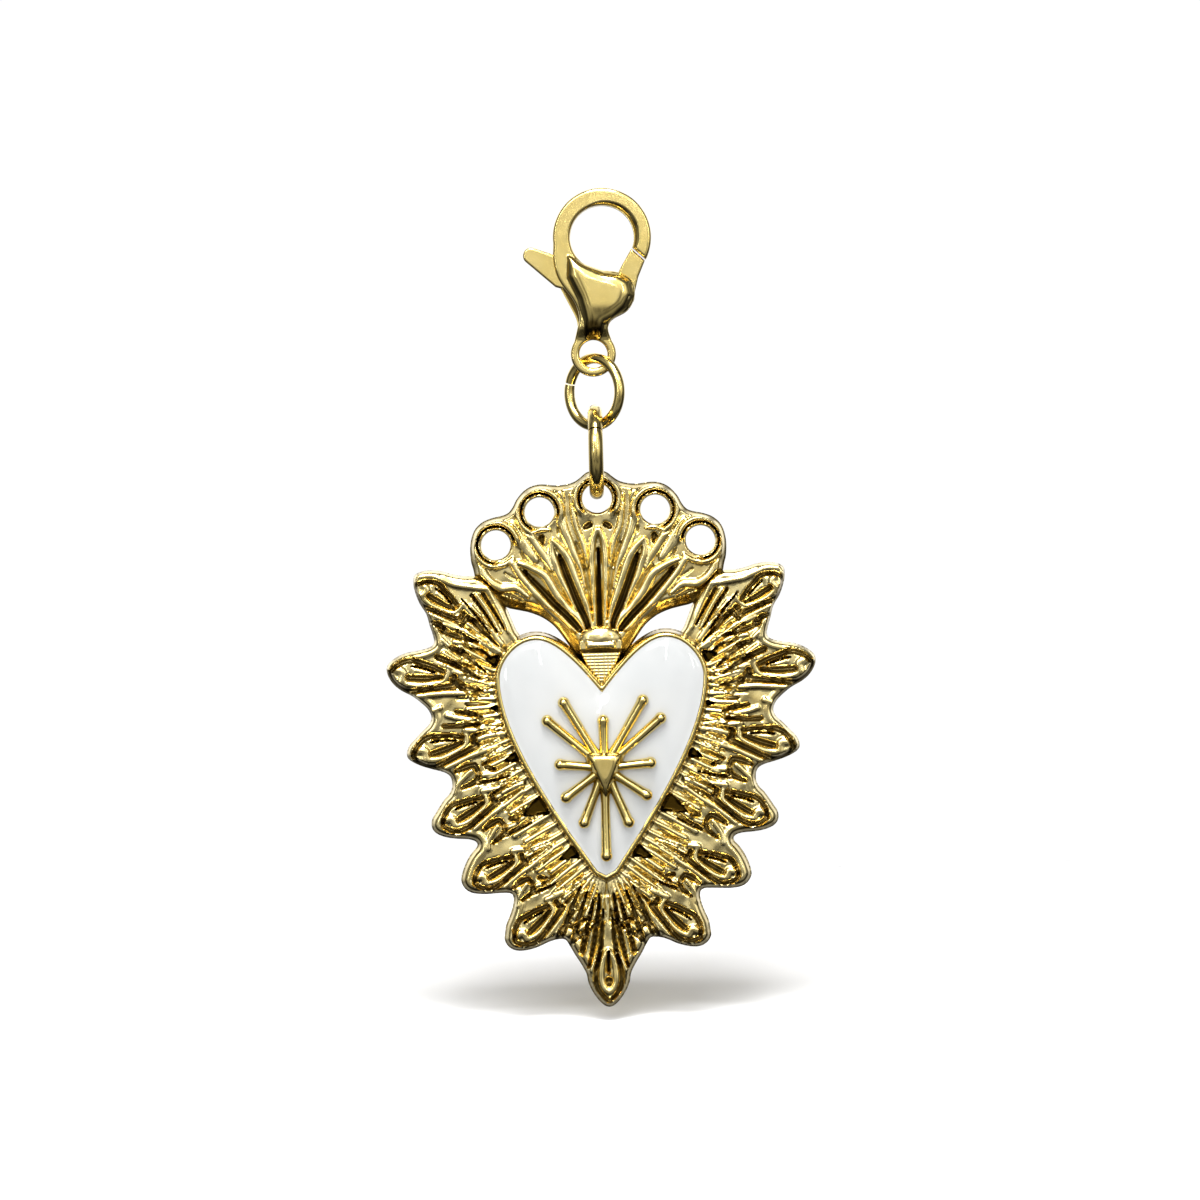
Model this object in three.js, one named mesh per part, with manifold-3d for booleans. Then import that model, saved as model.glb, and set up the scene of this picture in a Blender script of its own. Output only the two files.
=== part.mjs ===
// Flaming heart charm: a gilt cast pendant on two jump rings and a lobster claw clasp.
// Millimetres, +Z up, and the front faces -Y. X = 0 is the pendant's line of symmetry.
// The origin is the point inside the hook that bears the weight, straight above the pendant.
import * as THREE from 'three';
import { mergeVertices } from 'three/addons/utils/BufferGeometryUtils.js';
import Module from 'manifold-3d';

const wasm = await Module();
wasm.setup();

// Clasp: the hook, the body below its bore and the eye at its foot
const HOOK_BORE_RADIUS = 2.13;
const HOOK_BAND = 1.15;
const HOOK_OFFSET = 0.76;
const HOOK_HALF_DEPTH = 0.8;
const HOOK_TIP_ANGLE = -24;
const HOOK_TIP_SLANT = 4;
const CLASP_EDGE_ROUND = 0.22;
const CHEEK_BULGE = 0.6;
const BODY_LENGTH = 5.63;
const EYE_RADIUS = 1.22;
const EYE_BAND = 0.58;
const EYE_HALF_DEPTH = 0.4;

// Lever, pin and spring. The spring's places are distances from the pin and shares of the lever's sweep.
const PIVOT_ACROSS = 1.5;
const PIVOT_DROP = 1.91;
const PIN_RADIUS = 0.3;
const PIN_FIT = 0.05;
const PIN_END_SHARE = 0.55;
const LEVER_HALF_THICKNESS = 0.36;
const LEVER_EDGE_ROUND = 0.08;
const LEVER_BOSS_RADIUS = 0.58;
const LEVER_TAB_RADIUS = 0.54;
const LEVER_TAB_REACH = 1.48;
const LEVER_FIT = 0.07;
const LEVER_OPENING_ANGLE = 38;
const GATE_GAP = 0.1;
const SPRING_THICKNESS = 0.14;
const SPRING_HALF_WIDTH = 0.28;
const SPRING_REACHES = [1.39, 2.61, 3.0, 3.1, 2.84, 2.07, 1.41];
const SPRING_SWEEP_SHARES = [1.23, 1.05, 0.97, 0.79, 0.62, 0.41, 0.68];

// Jump rings, mean radius and wire thickness
const UPPER_RING_RADIUS = 2.25;
const UPPER_RING_WIRE = 0.7;
const UPPER_RING_TURN_ANGLE = 42;
const UPPER_RING_CUT_ANGLE = 168;
const LOWER_RING_RADIUS = 2.7;
const LOWER_RING_WIRE = 1.05;
const LOWER_RING_CUT_ANGLE = 150;
const RING_CUT = 0.1;
const EYE_GAP = 0.3;
const LINK_GAP = 0.07;

// Pendant: its main sizes, then its layers, as depths from its middle plane, back to front
const CROWN_HEIGHT = 9.2;
const BURST_REACH = 19;
const HEART_WIDTH = 14.1;
const HEART_HEIGHT = 16.34;
const PLATE_BACK = 0.8;
const LUG_FRONT = 0.25;
const PLATE_FRONT = -0.3;
const EYELET_BORE = 0.98;
const EYELET_RIM = 0.62;
const EYELET_HALF_DEPTH = 0.7;
const EYELET_ANGLES = [0, 24.4, 46.9];
const CROWN_EDGE_ROUND = 0.15;
const CROWN_CORNER = 0.82;
const CROWN_WALL = 0.95;
const FLAME_ROOT_DROP = 0.15;
const FLAME_RISE = 0.8;
const FLAME_COUNT = 13;
const FLAME_SPREAD_ANGLE = 112;
const FLAME_ROOT_RADIUS = 0.75;
const FLAME_BELLY_SHARE = 0.68;
const FLAME_LENGTH = 8.6;
const LUG_REACH = 0.6;
const CORNER_LUG = [[0.2, -0.4], [-0.02, -0.06], [-0.5, 0.05], [-1.35, -0.25], [-1.6, -1.05], [-1.0, -1.6]];

// Leaves of the frame, as an angle and a share of the burst's reach. A teardrop's corners are
// measured from its leaf's tip, and a side window's place is a share of the heart's side.
const BURST_DROP = 5.8;
const LEAF_ANGLE_SHARES = [[40, 0.838], [16.8, 0.79], [-7.4, 0.703], [-30.3, 0.708], [-48.9, 0.755],
  [-67, 0.853]];
const VALLEY_ANGLE_SHARES = [[27.1, 0.656], [3, 0.598], [-18.4, 0.561], [-41.6, 0.614], [-60, 0.675],
  [-78, 0.768]];
const FOOT_ANGLE_SHARE = [-90, 1];
const SHOULDER_ANGLE_SHARE = [51, 0.692];
const LEAF_TIP_RADIUS = 0.94;
const LEAF_EDGE_ROUND = 0.15;
const RIDGE_RISE = 0.5;
const RIDGE_WIDTH = 0.42;
const RIDGE_SINK = 0.12;
const RIM_INSET = 0.3;
const TEARDROP = [[0.25, 0], [-0.6, 0.5], [-1.75, 0.5], [-2.35, 0.28], [-2.35, -0.28], [-1.75, -0.5],
  [-0.6, -0.5]];
const WINDOW_DEPTH = 0.75;
const WINDOW_MARGIN = 0.15;
const WINDOW_SHARES = [0.36, 0.47, 0.595, 0.735, 0.875];
const WINDOW_SIZES = [0.55, 0.55, 0.6, 0.85, 0.7];

// Heart, enamel, star and collar. A curve's pulls are shares of the way between its ends, and the
// star's rays are angles and shares of its reach.
const HEART_RISE = 0.12;
const LOBE_TOP_ACROSS = 4.3;
const LOBE_TOP_RISE = 3.45;
const HEART_SIDE_DROP = 2.82;
const LOBE_PULL_SHARES = [[0.3, 0.47], [0.67, 1]];
const SHOULDER_PULL_SHARES = [[0.56, 0], [1, 0.57]];
const FLANK_PULL_SHARES = [[0, 0.27], [0.45, 0.64]];
const FLANK_END_SHARE = [0.89, 0.969];
const LOBE_MARGIN = 0.3;
const CUP_RIM = 0.34;
const CUP_RIM_FRONT = -1.75;
const CUP_FLOOR = -0.9;
const ENAMEL_GAP = 0.05;
const ENAMEL_FRONT = -2.15;
const ENAMEL_DOME_SHARES = [[0.95, 0.45], [0.85, 0.85], [0.7, 1]];
const SEAT_GAP = 0.06;
const STAR_ACROSS = 0.05;
const STAR_DROP = 8.87;
const STAR_FRONT = -2.45;
const STAR_BAR = 0.3;
const STAR_BULB = 0.24;
const STAR_TIP_MARGIN = 1.35;
const STAR_ANGLE_SHARES = [[120.7, 0.84], [139.2, 0.81], [90.3, 0.54], [59.1, 0.85], [40.2, 0.82], [5, 0.505],
  [-34, 0.56], [-67.3, 0.65], [-90.1, 1], [-111.8, 0.64], [-143.7, 0.53], [174.4, 0.485]];
const BOSS_FRONT = -3.0;
const BOSS_RADIUS = 0.95;
const BOSS_DRAW_SHARE = 1.25;
const BOSS_TOP_SHARE = 0.2;
const COLLAR_HALF_WIDTH = 1.1;
const COLLAR_HEIGHT = 1.15;
const COLLAR_FRONT = -1.45;
const COLLAR_BEAD = 0.3;
const COLLAR_EDGE_ROUND = 0.1;
const COLLAR_LEDGE = 0.2;

// Fineness of round forms
const ARC_STEP = 15;
const MERGE_TOLERANCE = 1e-5;

const radians = THREE.MathUtils.degToRad;
const mirrored = ([x, z]) => [-x, z];
const polar = ([angle, reach], [x, z] = [0, 0]) => [
  x + reach * Math.cos(radians(angle)),
  z + reach * Math.sin(radians(angle)),
];
const toward = ([x1, z1], [x2, z2], share) => [x1 + (x2 - x1) * share, z1 + (z2 - z1) * share];
const between = ([x1, z1], [x2, z2], [across, along]) => [x1 + (x2 - x1) * across, z1 + (z2 - z1) * along];
const distance = ([x1, z1], [x2, z2]) => Math.hypot(x2 - x1, z2 - z1);

// Places on the clasp, measured from its hook's centre, its pin and its eye
const hookOuterRadius = HOOK_BORE_RADIUS + HOOK_BAND;
const hookCentre = [HOOK_OFFSET, -Math.sqrt(HOOK_BORE_RADIUS ** 2 - HOOK_OFFSET ** 2)];
const pivot = [hookCentre[0] + PIVOT_ACROSS, hookCentre[1] - HOOK_BORE_RADIUS - PIVOT_DROP];
const eyeZ = hookCentre[1] - HOOK_BORE_RADIUS - BODY_LENGTH;
const fromHook = (x, z) => [hookCentre[0] + x, hookCentre[1] + z];
const fromPivot = (x, z) => [pivot[0] + x, pivot[1] + z];
const fromEye = (x, z) => [x, eyeZ + z];

// Places on the pendant, measured from its middle eyelet
const collarTop = -CROWN_HEIGHT;
const crownRoot = [0, collarTop - FLAME_ROOT_DROP];
const burstCentre = [0, collarTop - BURST_DROP];
const heartTop = collarTop + HEART_RISE;
const heartCleft = [0, heartTop - LOBE_TOP_RISE];
const heartLobeTop = [LOBE_TOP_ACROSS, heartTop];
const heartSidePoint = [HEART_WIDTH / 2, heartTop - HEART_SIDE_DROP];
const heartTip = [0, heartTop - HEART_HEIGHT];
const heartCentre = [0, heartTop - HEART_HEIGHT * 0.4];
const starCentre = [STAR_ACROSS, heartTop - STAR_DROP];
const starReach = HEART_HEIGHT - STAR_DROP - STAR_TIP_MARGIN;

// Heights of the chain, each link resting on the one above it
const eyeBarZ = eyeZ - EYE_RADIUS;
const upperRingTopZ = eyeBarZ + EYE_BAND / 2 + UPPER_RING_WIRE / 2 + EYE_GAP;
const upperRingZ = upperRingTopZ - UPPER_RING_RADIUS;
const upperRingFootZ = upperRingZ - UPPER_RING_RADIUS;
const lowerRingTopZ = upperRingFootZ + UPPER_RING_WIRE / 2 + LOWER_RING_WIRE / 2 + LINK_GAP;
const lowerRingZ = lowerRingTopZ - LOWER_RING_RADIUS;
const lowerRingFootZ = lowerRingZ - LOWER_RING_RADIUS;
const pendantZ = lowerRingFootZ + LOWER_RING_WIRE / 2 + LINK_GAP - EYELET_BORE;

const gold = new THREE.MeshStandardMaterial({ color: 0xd9ac52, roughness: 0.22, metalness: 1 });
const satinGold = new THREE.MeshStandardMaterial({ color: 0xcfa24a, roughness: 0.32, metalness: 1 });
const enamel = new THREE.MeshStandardMaterial({ color: 0xe8eaeb, roughness: 0.08, metalness: 0 });
const springSteel = new THREE.MeshStandardMaterial({ color: 0xa9a9a6, roughness: 0.35, metalness: 1 });

// A closed geometry as a solid that can be joined and cut.
function toSolid(geometry) {
  const bare = geometry.clone();
  bare.deleteAttribute('normal');
  bare.deleteAttribute('uv');
  const merged = mergeVertices(bare, MERGE_TOLERANCE);
  return new wasm.Manifold(new wasm.Mesh({
    numProp: 3,
    vertProperties: new Float32Array(merged.attributes.position.array),
    triVerts: new Uint32Array(merged.index.array),
  }));
}

function toGeometry(solid) {
  const mesh = solid.getMesh();
  const geometry = new THREE.BufferGeometry();
  geometry.setAttribute('position', new THREE.BufferAttribute(mesh.vertProperties, 3));
  geometry.setIndex(new THREE.BufferAttribute(mesh.triVerts, 1));
  geometry.computeVertexNormals();
  return geometry;
}

function joined(solids) {
  return solids.reduce((whole, solid) => whole.add(solid));
}

// A round stretch of an outline, as points from one angle to another in degrees.
function arc([x, z], radius, from, to, step = ARC_STEP) {
  const count = Math.max(1, Math.ceil(Math.abs(to - from) / step));
  const points = [];
  for (let i = 0; i <= count; i += 1) {
    points.push(polar([from + ((to - from) * i) / count, radius], [x, z]));
  }
  return points;
}

// Points along a cubic curve, without its first point.
function curve(start, controlA, controlB, end, count) {
  const vectors = [start, controlA, controlB, end].map(([x, z]) => new THREE.Vector2(x, z));
  const points = new THREE.CubicBezierCurve(...vectors).getPoints(count);
  return points.slice(1).map((point) => [point.x, point.y]);
}

function signedArea(outline) {
  return THREE.ShapeUtils.area(outline.map(([x, z]) => new THREE.Vector2(x, z)));
}

// An outline grown outward by a distance, or shrunk by a negative one, with mitred corners.
function grown(outline, amount) {
  const side = Math.sign(signedArea(outline));
  const count = outline.length;
  return outline.map((point, i) => {
    const before = outline[(i + count - 1) % count];
    const after = outline[(i + 1) % count];
    const a = new THREE.Vector2(point[0] - before[0], point[1] - before[1]).normalize();
    const b = new THREE.Vector2(after[0] - point[0], after[1] - point[1]).normalize();
    const miter = new THREE.Vector2(a.y + b.y, -a.x - b.x).normalize();
    const reach = (side * amount) / Math.max(miter.dot(new THREE.Vector2(a.y, -a.x)), 0.4);
    return [point[0] + miter.x * reach, point[1] + miter.y * reach];
  });
}

function scaled(outline, centre, share) {
  return outline.map((point) => toward(centre, point, share));
}

// A solid through several outlines of equal point count, each at its own depth, back to front.
function layered(levels) {
  const first = levels[0].outline;
  const count = first.length;
  const flip = signedArea(first) < 0;
  const positions = levels.flatMap(({ outline, y }) => outline.flatMap(([x, z]) => [x, y, z]));
  const indices = [];
  const push = (a, b, c) => indices.push(...(flip ? [a, c, b] : [a, b, c]));
  for (let level = 0; level < levels.length - 1; level += 1) {
    for (let i = 0; i < count; i += 1) {
      const here = level * count + i;
      const next = level * count + ((i + 1) % count);
      push(here, next, next + count);
      push(here, next + count, here + count);
    }
  }
  const cap = (outline, start, facesFront) => {
    const contour = outline.map(([x, z]) => new THREE.Vector2(x, z));
    for (const [a, b, c] of THREE.ShapeUtils.triangulateShape(contour, [])) {
      const turned = signedArea([outline[a], outline[b], outline[c]]) > 0 ? [a, b, c] : [a, c, b];
      const [p, q, r] = turned.map((i) => i + start);
      indices.push(...(facesFront ? [p, q, r] : [p, r, q]));
    }
  };
  cap(first, 0, false);
  cap(levels.at(-1).outline, (levels.length - 1) * count, true);
  const geometry = new THREE.BufferGeometry();
  geometry.setAttribute('position', new THREE.Float32BufferAttribute(positions, 3));
  geometry.setIndex(indices);
  return toSolid(geometry);
}

function slab(outline, back, front) {
  return layered([{ outline, y: back }, { outline, y: front }]);
}

// A slab whose front edge is eased.
function easedSlab(outline, back, front, ease) {
  return layered([
    { outline, y: back },
    { outline, y: front + ease },
    { outline: grown(outline, -ease), y: front },
  ]);
}

// A slab eased front and back, the same on both sides of the middle plane.
function pillow(outline, halfDepth, ease) {
  const inner = grown(outline, -ease);
  return layered([
    { outline: inner, y: halfDepth },
    { outline, y: halfDepth - ease },
    { outline, y: ease - halfDepth },
    { outline: inner, y: -halfDepth },
  ]);
}

// A ring about the Y axis with an oval section.
function ovalRing([x, z], radius, halfBand, halfDepth, sides, steps) {
  const profile = [];
  for (let i = 0; i <= sides; i += 1) {
    const angle = (2 * Math.PI * i) / sides;
    profile.push(new THREE.Vector2(radius + halfBand * Math.cos(angle), halfDepth * Math.sin(angle)));
  }
  const geometry = new THREE.LatheGeometry(profile, steps);
  geometry.translate(x, 0, z);
  return toSolid(geometry);
}

// A solid from corner points and three-cornered faces that look outward.
function faceted(vertices, faces) {
  const geometry = new THREE.BufferGeometry();
  geometry.setAttribute('position', new THREE.Float32BufferAttribute(vertices.flat(), 3));
  geometry.setIndex(faces.flat());
  return toSolid(geometry);
}

// Places by a line from one point to another: so far along it and so far to its left.
function alongLine(from, to) {
  const length = distance(from, to);
  const [x, z] = [(to[0] - from[0]) / length, (to[1] - from[1]) / length];
  return (s, t) => [from[0] + x * s - z * t, from[1] + z * s + x * t];
}

// The same places at a depth.
function alongLineAt(from, to) {
  const at = alongLine(from, to);
  return (s, t, y) => {
    const [x, z] = at(s, t);
    return [x, y, z];
  };
}

// A roof-shaped ridge lying on the plate, from one point to another.
function ridge(from, to) {
  const length = distance(from, to);
  const at = alongLineAt(from, to);
  const half = RIDGE_WIDTH / 2;
  const hip = Math.min(half, length / 3);
  const low = PLATE_FRONT + RIDGE_SINK;
  const crest = PLATE_FRONT - RIDGE_RISE;
  const vertices = [
    at(0, -half, low), at(length, -half, low), at(length, half, low), at(0, half, low),
    at(hip, 0, crest), at(length - hip, 0, crest),
  ];
  return faceted(vertices, [
    [0, 1, 5], [0, 5, 4], [1, 2, 5], [2, 3, 4], [2, 4, 5], [3, 0, 4], [0, 3, 2], [0, 2, 1],
  ]);
}

// A flame of the fan: a long kite with one crest, widest nearer its outer end.
function flame(from, to, width) {
  const length = distance(from, to);
  const at = alongLineAt(from, to);
  const wide = length * FLAME_BELLY_SHARE;
  const low = PLATE_FRONT + RIDGE_SINK;
  const vertices = [
    at(0, 0, low), at(wide, -width / 2, low), at(length, 0, low), at(wide, width / 2, low),
    at(length * 0.12, 0, PLATE_FRONT - FLAME_RISE * 0.7), at(length * 0.8, 0, PLATE_FRONT - FLAME_RISE),
  ];
  return faceted(vertices, [
    [0, 1, 4], [1, 5, 4], [1, 2, 5], [2, 3, 5], [3, 4, 5], [3, 0, 4], [0, 3, 2], [0, 2, 1],
  ]);
}

// The inner and outer corners of the hook's tip, where the gate meets it.
function hookTip() {
  return [
    polar([HOOK_TIP_ANGLE + HOOK_TIP_SLANT, HOOK_BORE_RADIUS], hookCentre),
    polar([HOOK_TIP_ANGLE - HOOK_TIP_SLANT, hookOuterRadius], hookCentre),
  ];
}

// The hook, the flanks and the neck, seen from the front.
function claspOutline() {
  const neck = EYE_RADIUS - EYE_BAND / 2;
  return [
    ...arc(hookCentre, hookOuterRadius, HOOK_TIP_ANGLE - HOOK_TIP_SLANT, 192, 12),
    fromHook(-hookOuterRadius, -1.61), fromHook(0.21 - hookOuterRadius, -2.79), fromEye(-1.54, 3.48),
    fromEye(-0.5, 2.15), fromEye(-0.42, neck + 0.72), fromEye(-0.62, neck),
    fromEye(0.72, neck), fromEye(0.62, neck + 0.47),
    fromPivot(-0.84, -1.71), fromPivot(0.14, -0.8), fromPivot(0.6, 0.12), fromPivot(0.4, 1.13),
    fromPivot(-0.31, 1.63), fromHook(0.04, -HOOK_BORE_RADIUS - 0.08),
    ...arc(hookCentre, HOOK_BORE_RADIUS, 228, HOOK_TIP_ANGLE + HOOK_TIP_SLANT, 12),
  ];
}

// The swelling cheek of the clasp, seen from the front.
function cheekOutline() {
  return [
    fromHook(-2.38, -1.11), fromHook(-1.36, -1.63), fromHook(0.04, -HOOK_BORE_RADIUS - 0.15),
    fromPivot(-0.36, 1.56), fromPivot(0.32, 1.08), fromPivot(0.5, 0.13), fromPivot(0.04, -0.75),
    fromPivot(-0.91, -1.63), fromEye(0.62, 1.5), fromEye(0, 1.45), fromEye(-0.3, 2.25),
    fromEye(-1.2, 3.65), fromHook(-2.48, -2.61),
  ];
}

// One cheek, swelling in steps, each a share of the bulge and of the outline.
function cheek(side) {
  const outline = cheekOutline();
  const centre = fromPivot(-1.51, 0.43);
  const start = side * (HOOK_HALF_DEPTH - CLASP_EDGE_ROUND);
  const steps = [[0, 1], [0.45, 0.93], [0.8, 0.76], [1, 0.5]];
  const levels = steps.map(([rise, share]) => ({
    outline: scaled(outline, centre, share),
    y: start + side * rise * (CHEEK_BULGE + CLASP_EDGE_ROUND),
  }));
  return layered(side > 0 ? levels.reverse() : levels);
}

// The gate's end face, parallel to the hook's tip and a small gap below it.
function gateEnd() {
  const [inner, outer] = hookTip();
  const at = alongLine(inner, outer);
  return [at(0, -GATE_GAP), at(distance(inner, outer), -GATE_GAP)];
}

// The lever from thumb tab to gate, with an allowance all round.
function leverOutline(allowance = 0) {
  const tab = fromHook(-hookOuterRadius - LEVER_TAB_REACH, -1.11);
  const outline = [
    ...arc(tab, LEVER_TAB_RADIUS, 235, 75, 20),
    fromHook(-hookOuterRadius - 0.23, -0.99), fromHook(-1.96, -1.76),
    fromPivot(-1.56, 1.41), fromPivot(-0.54, 1.53), fromPivot(-0.28, 2.05),
    ...gateEnd(),
    fromPivot(0.86, 1.33),
    ...arc(pivot, LEVER_BOSS_RADIUS, 15, -110, 25),
    fromHook(0.1 - hookOuterRadius, -3.23),
  ];
  return allowance === 0 ? outline : grown(outline, allowance);
}

function turnedAbout(outline, centre, degrees) {
  const vector = new THREE.Vector2(centre[0], centre[1]);
  return outline.map(([x, z]) => {
    const point = new THREE.Vector2(x, z).rotateAround(vector, radians(degrees));
    return [point.x, point.y];
  });
}

// Everything that the lever sweeps between its stops, with its running clearance.
function leverCavity() {
  const steps = 5;
  const half = LEVER_HALF_THICKNESS + LEVER_FIT;
  const swept = [];
  for (let i = 0; i <= steps; i += 1) {
    const outline = turnedAbout(leverOutline(LEVER_FIT), pivot, (LEVER_OPENING_ANGLE * i) / steps);
    swept.push(slab(outline, half, -half));
  }
  return joined(swept);
}

// A round pin or bore on the lever's axis.
function axle(radius, halfLength) {
  return slab(arc(pivot, radius, 0, 360 - ARC_STEP, ARC_STEP), halfLength, -halfLength);
}

function makeClaspBody() {
  const body = joined([
    pillow(claspOutline(), HOOK_HALF_DEPTH, CLASP_EDGE_ROUND),
    cheek(1),
    cheek(-1),
    ovalRing([0, eyeZ], EYE_RADIUS, EYE_BAND / 2, EYE_HALF_DEPTH, 10, 24),
  ]);
  const through = HOOK_HALF_DEPTH + CHEEK_BULGE * 2;
  return body.subtract(leverCavity()).subtract(axle(PIN_RADIUS, through));
}

function makeTrigger() {
  const lever = pillow(leverOutline(), LEVER_HALF_THICKNESS, LEVER_EDGE_ROUND);
  return lever.subtract(axle(PIN_RADIUS + PIN_FIT, LEVER_HALF_THICKNESS * 2));
}

function makePivotPin() {
  return axle(PIN_RADIUS, HOOK_HALF_DEPTH + CHEEK_BULGE * PIN_END_SHARE);
}

// A place under the lever's arm, so far from the pin and so far through the lever's sweep.
function underLever(reach, share) {
  const tabSide = fromHook(0.1 - hookOuterRadius, -3.23);
  const armAngle = Math.atan2(tabSide[1] - pivot[1], tabSide[0] - pivot[0]);
  return polar([THREE.MathUtils.radToDeg(armAngle) + share * LEVER_OPENING_ANGLE, reach], pivot);
}

// A bent leaf under the lever: one leg on the slot's floor, the other under the arm.
function makeSpring() {
  const path = SPRING_REACHES.map((reach, i) => underLever(reach, SPRING_SWEEP_SHARES[i]));
  const half = SPRING_THICKNESS / 2;
  const left = [];
  const right = [];
  path.forEach((point, i) => {
    const at = alongLine(path[Math.max(i - 1, 0)], path[Math.min(i + 1, path.length - 1)]);
    const [x, z] = at(0, half);
    const [x0, z0] = at(0, 0);
    left.push([point[0] + x - x0, point[1] + z - z0]);
    right.push([point[0] - x + x0, point[1] - z + z0]);
  });
  return slab([...left, ...right.reverse()], SPRING_HALF_WIDTH, -SPRING_HALF_WIDTH);
}

// A round jump ring in the XZ plane about its own centre, with the thin gap of its cut.
class OpenRing extends THREE.Curve {
  constructor(radius, cutAngle, cut) {
    super();
    this.radius = radius;
    this.start = radians(cutAngle) + cut / radius / 2;
    this.sweep = 2 * Math.PI - cut / radius;
  }

  getPoint(t, target = new THREE.Vector3()) {
    const angle = this.start + this.sweep * t;
    return target.set(this.radius * Math.cos(angle), 0, this.radius * Math.sin(angle));
  }
}

function makeRing(radius, wire, cutAngle) {
  const corners = arc([0, 0], wire / 2, 0, 324, 36);
  const section = new THREE.Shape(corners.map(([x, z]) => new THREE.Vector2(x, z)));
  const geometry = new THREE.ExtrudeGeometry(section, {
    steps: 40,
    curveSegments: 1,
    extrudePath: new OpenRing(radius, cutAngle, RING_CUT),
  });
  return toSolid(geometry);
}

// Where a line from a point touches a leaf's round tip, on the given side.
function touchPoint(point, centre, radius, side) {
  const span = distance(point, centre);
  const toPoint = Math.atan2(point[1] - centre[1], point[0] - centre[0]);
  const angle = toPoint + side * Math.acos(radius / span);
  return THREE.MathUtils.radToDeg(angle);
}

// A place on the burst, at an angle and a share of its reach, drawn in by an inset.
function burstAt([angle, share], inset = 0) {
  return polar([angle, BURST_REACH * share - inset], burstCentre);
}

function leafTips() {
  const right = LEAF_ANGLE_SHARES.map((leaf) => burstAt(leaf, LEAF_TIP_RADIUS));
  return [...right, burstAt(FOOT_ANGLE_SHARE, LEAF_TIP_RADIUS), ...right.map(mirrored).reverse()];
}

function leafValleys() {
  const right = [SHOULDER_ANGLE_SHARE, ...VALLEY_ANGLE_SHARES].map((valley) => burstAt(valley));
  return [...right, ...right.map(mirrored).reverse()];
}

// One half of the heart from cleft to tip, on the right, without its end points.
function heartSide() {
  const flankEnd = between(heartSidePoint, heartTip, FLANK_END_SHARE);
  const swept = (from, to, pulls, count, end = to) => (
    curve(from, ...pulls.map((pull) => between(from, to, pull)), end, count)
  );
  return [
    ...swept(heartCleft, heartLobeTop, LOBE_PULL_SHARES, 6),
    ...swept(heartLobeTop, heartSidePoint, SHOULDER_PULL_SHARES, 5),
    ...swept(heartSidePoint, heartTip, FLANK_PULL_SHARES, 8, flankEnd),
  ];
}

function heartOutline() {
  const right = heartSide();
  return [heartCleft, ...right, heartTip, ...right.map(mirrored).reverse()];
}

// The leafed edge clockwise from the right shoulder to the left one.
function leafedEdge() {
  const tips = leafTips();
  const valleys = leafValleys();
  const points = [];
  tips.forEach((tip, i) => {
    const from = touchPoint(valleys[i], tip, LEAF_TIP_RADIUS, -1);
    const to = touchPoint(valleys[i + 1], tip, LEAF_TIP_RADIUS, 1);
    const sweep = THREE.MathUtils.euclideanModulo(from - to, 360);
    points.push(valleys[i], ...arc(tip, LEAF_TIP_RADIUS, from, from - sweep, 36));
  });
  points.push(valleys.at(-1));
  return points;
}

// Leaf relief: a rim along the edge, a teardrop near the tip and ribs that run in to the heart.
function leafRelief(tip, before, after) {
  const reach = distance(burstCentre, tip);
  const fromBurst = alongLine(burstCentre, tip);
  const at = (s, t) => fromBurst(reach + s, t);
  const rimTip = at(LEAF_TIP_RADIUS - RIM_INSET, 0);
  const ridges = [];
  for (const [side, valley] of [[1, before], [-1, after]]) {
    const shoulder = at(0.1, side * (LEAF_TIP_RADIUS - RIM_INSET));
    const root = toward(valley, tip, 0.16);
    ridges.push([root, shoulder], [shoulder, rimTip]);
  }
  const loop = TEARDROP.map(([s, t]) => at(s, t));
  loop.forEach((point, i) => {
    ridges.push([point, loop[(i + 1) % loop.length]]);
  });
  for (const spread of [-1, 0, 1]) {
    ridges.push([at(-3.0, spread * 0.8), at(-reach * 0.58, spread * 0.45)]);
  }
  return ridges;
}

// The right corner between the crown and the first leaf, moved by an offset.
function shoulderAt(x, z) {
  const shoulder = burstAt(SHOULDER_ANGLE_SHARE);
  return [shoulder[0] + x, shoulder[1] + z];
}

// The frame's plate seen from the front: the leafed edge, then over the heart's lobes.
function frameOutline() {
  const overLobe = grown(heartOutline(), LOBE_MARGIN).filter(([x, z]) => (
    x > COLLAR_HALF_WIDTH && x < (heartLobeTop[0] + heartSidePoint[0]) / 2 && z > heartSidePoint[1]
  ));
  const windowCorner = overLobe.at(-1);
  const right = [
    [COLLAR_HALF_WIDTH, collarTop],
    ...overLobe,
    [windowCorner[0] + LOBE_MARGIN, windowCorner[1]],
    shoulderAt(-CROWN_CORNER, -CROWN_CORNER),
  ];
  return [...right, ...leafedEdge(), ...right.map(mirrored).reverse()];
}

// The tabs behind the crown that it is soldered to: one at each corner and one at its foot.
function crownLugs() {
  const corner = CORNER_LUG.map(([x, z]) => shoulderAt(x, z));
  const foot = [
    [-COLLAR_HALF_WIDTH, collarTop + LUG_REACH],
    [-COLLAR_HALF_WIDTH, collarTop - LUG_REACH],
    [COLLAR_HALF_WIDTH, collarTop - LUG_REACH],
    [COLLAR_HALF_WIDTH, collarTop + LUG_REACH],
  ];
  return [corner, corner.map(mirrored), foot].map((outline) => slab(outline, PLATE_BACK, LUG_FRONT));
}

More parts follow.
